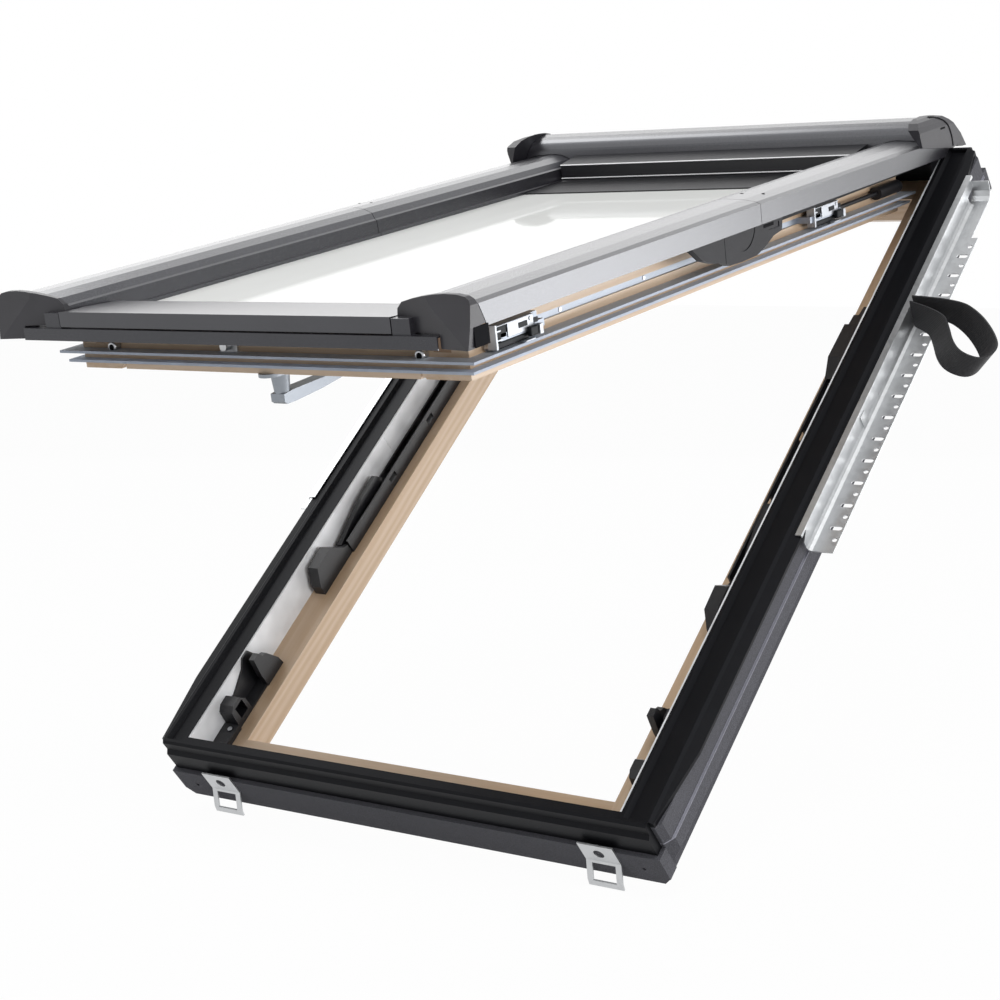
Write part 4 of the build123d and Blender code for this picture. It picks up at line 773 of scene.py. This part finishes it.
class RoofWindowStage(bpy.types.Operator):
    """Sets the camera, the lights and the floor"""

    bl_idname = "roof_window.stage"
    bl_label = "Stage"

    CAMERA_PLACE, CAMERA_AIM = (1.5488, -2.04514, 0.67872), Vector((-0.5715, 0.8135, -0.1073))
    SENSOR_WIDTH, LENS, NEAREST, FARTHEST = 36.0, 75.28, 0.05, 100
    MIDDLE = (0, 0.2, 0.45)
    # Name, place, target, width and height, and power in watts
    LAMPS = (
        ("large light behind left", (-2.6, 3.9, 2.3), MIDDLE, (4.6, 4.6), 32),
        ("light behind right", (3.15, 2.85, 0.45), MIDDLE, (2.4, 1.3), 48),
        ("key from the right", (3.6, -1.2, 1.3), MIDDLE, (1.8, 1.8), 46),
        ("light above left", (-2.0, 0.6, 3.2), MIDDLE, (1.8, 1.8), 34),
        ("low light from the right", (3.2, 0.4, 0.72), (0.3, 0.3, 0.6), (2.4, 0.4), 18),
        ("high light in front", (1.2, -1.6, 3.4), MIDDLE, (1.2, 1.2), 58))
    SKY_TONE, SKY_STRENGTH = (0.96, 0.98, 1, 1), 0.3
    FLOOR_TONE, FLOOR_ROUGHNESS = (0.75, 0.75, 0.75), 0.9
    FLOOR_HALF, FLOOR_DROP, FLOOR_WHITENESS = 40, 0.002, 0.97

    def execute(self, context):
        scene = context.scene
        scene.view_settings.view_transform = "Standard"
        self.camera(scene)
        for lamp in self.LAMPS:
            self.lamp(scene, *lamp)
        self.sky(scene)
        self.floor(scene)
        return {"FINISHED"}

    def aimed(self, scene, name, data, place, aim):
        """Adds a camera or a lamp that looks along a direction."""
        made = bpy.data.objects.new(name, data)
        made.location = place
        made.rotation_mode = "QUATERNION"
        made.rotation_quaternion = aim.to_track_quat("-Z", "Y")
        scene.collection.objects.link(made)
        return made

    def camera(self, scene):
        data = bpy.data.cameras.new("camera")
        data.sensor_width, data.lens = self.SENSOR_WIDTH, self.LENS
        data.clip_start, data.clip_end = self.NEAREST, self.FARTHEST
        scene.camera = self.aimed(scene, "camera", data, self.CAMERA_PLACE, self.CAMERA_AIM)

    def lamp(self, scene, name, place, target, size, power):
        light = bpy.data.lights.new(name, "AREA")
        light.shape = "RECTANGLE"
        light.size, light.size_y = size
        light.energy = power
        lamp = self.aimed(scene, name, light, place, Vector(target) - Vector(place))
        lamp.visible_camera = False
        lamp.visible_transmission = False

    def seen_by_view(self, nodes):
        """1 for what the camera sees, also in a reflection or through glass."""
        path = nodes.node("ShaderNodeLightPath")
        camera, glossy, through = (
            Number(nodes, path.outputs[f"Is {ray} Ray"]) for ray in ("Camera", "Glossy", "Transmission"))
        return camera.most(glossy).most(through)

    def sky(self, scene):
        """A soft sky that looks white."""
        scene.world = bpy.data.worlds.new("studio white")
        scene.world.use_nodes = True
        nodes = Nodes(scene.world.node_tree)
        light = nodes.tree.nodes["Background"]
        nodes.feed(light.inputs["Color"], self.SKY_TONE)
        nodes.feed(light.inputs["Strength"], self.SKY_STRENGTH)
        white = nodes.node("ShaderNodeBackground", {"Color": WHITE, "Strength": 1.0})
        inputs = {0: self.seen_by_view(nodes), 1: light.outputs[0], 2: white.outputs[0]}
        mix = nodes.node("ShaderNodeMixShader", inputs)
        nodes.feed(nodes.tree.nodes["World Output"].inputs[0], mix.outputs[0])

    def floor(self, scene):
        """A pale floor under the part, which looks nearly white and keeps the shadow."""
        bm = bmesh.new()
        bmesh.ops.create_grid(bm, x_segments=1, y_segments=1, size=self.FLOOR_HALF)
        bm.transform(Matrix.Translation((0, 0, CAD_BOX[0].z - self.FLOOR_DROP)))
        mesh = bpy.data.meshes.new("floor")
        bm.to_mesh(mesh)
        bm.free()
        pale = Finish("pale floor", self.FLOOR_TONE, self.FLOOR_ROUGHNESS)
        glow = pale.node("ShaderNodeEmission", {"Color": WHITE, "Strength": 1.0})
        share = self.seen_by_view(pale) * self.FLOOR_WHITENESS
        mix = pale.node("ShaderNodeMixShader", {0: share, 1: pale.shader.outputs[0], 2: glow.outputs[0]})
        pale.feed(pale.tree.nodes["Material Output"].inputs[0], mix.outputs[0])
        mesh.materials.append(pale.material)
        floor = bpy.data.objects.new("floor", mesh)
        scene.collection.objects.link(floor)


STEPS = (
    RoofWindowWood, RoofWindowMetal, RoofWindowPlastic, RoofWindowStrap, RoofWindowGlass, RoofWindowScrews,
    RoofWindowLocks, RoofWindowSeams, RoofWindowStage)


class RoofWindowPanel(bpy.types.Panel):
    """Lists the steps and the settings"""

    bl_idname = "VIEW3D_PT_roof_window"
    bl_label = "Roof window"
    bl_space_type = "VIEW_3D"
    bl_region_type = "UI"
    bl_category = "Roof window"

    def draw(self, context):
        for group in (context.scene.roof_window_colours, context.scene.roof_window_sizes):
            for name in group.__annotations__:
                self.layout.prop(group, name)
        for step in STEPS:
            self.layout.operator(step.bl_idname)


CLASSES = (RoofWindowColours, RoofWindowSizes, *STEPS, RoofWindowPanel)


def register():
    for cls in CLASSES:
        bpy.utils.register_class(cls)
    bpy.types.Scene.roof_window_colours = bpy.props.PointerProperty(type=RoofWindowColours)
    bpy.types.Scene.roof_window_sizes = bpy.props.PointerProperty(type=RoofWindowSizes)


def unregister():
    del bpy.types.Scene.roof_window_sizes
    del bpy.types.Scene.roof_window_colours
    for cls in reversed(CLASSES):
        bpy.utils.unregister_class(cls)


def main():
    register()
    bpy.ops.roof_window.wood()
    bpy.ops.roof_window.metal()
    bpy.ops.roof_window.plastic()
    bpy.ops.roof_window.strap()
    bpy.ops.roof_window.glass()
    bpy.ops.roof_window.screws()
    bpy.ops.roof_window.locks()
    bpy.ops.roof_window.seams()
    bpy.ops.roof_window.stage()


if __name__ == "__main__":
    main()
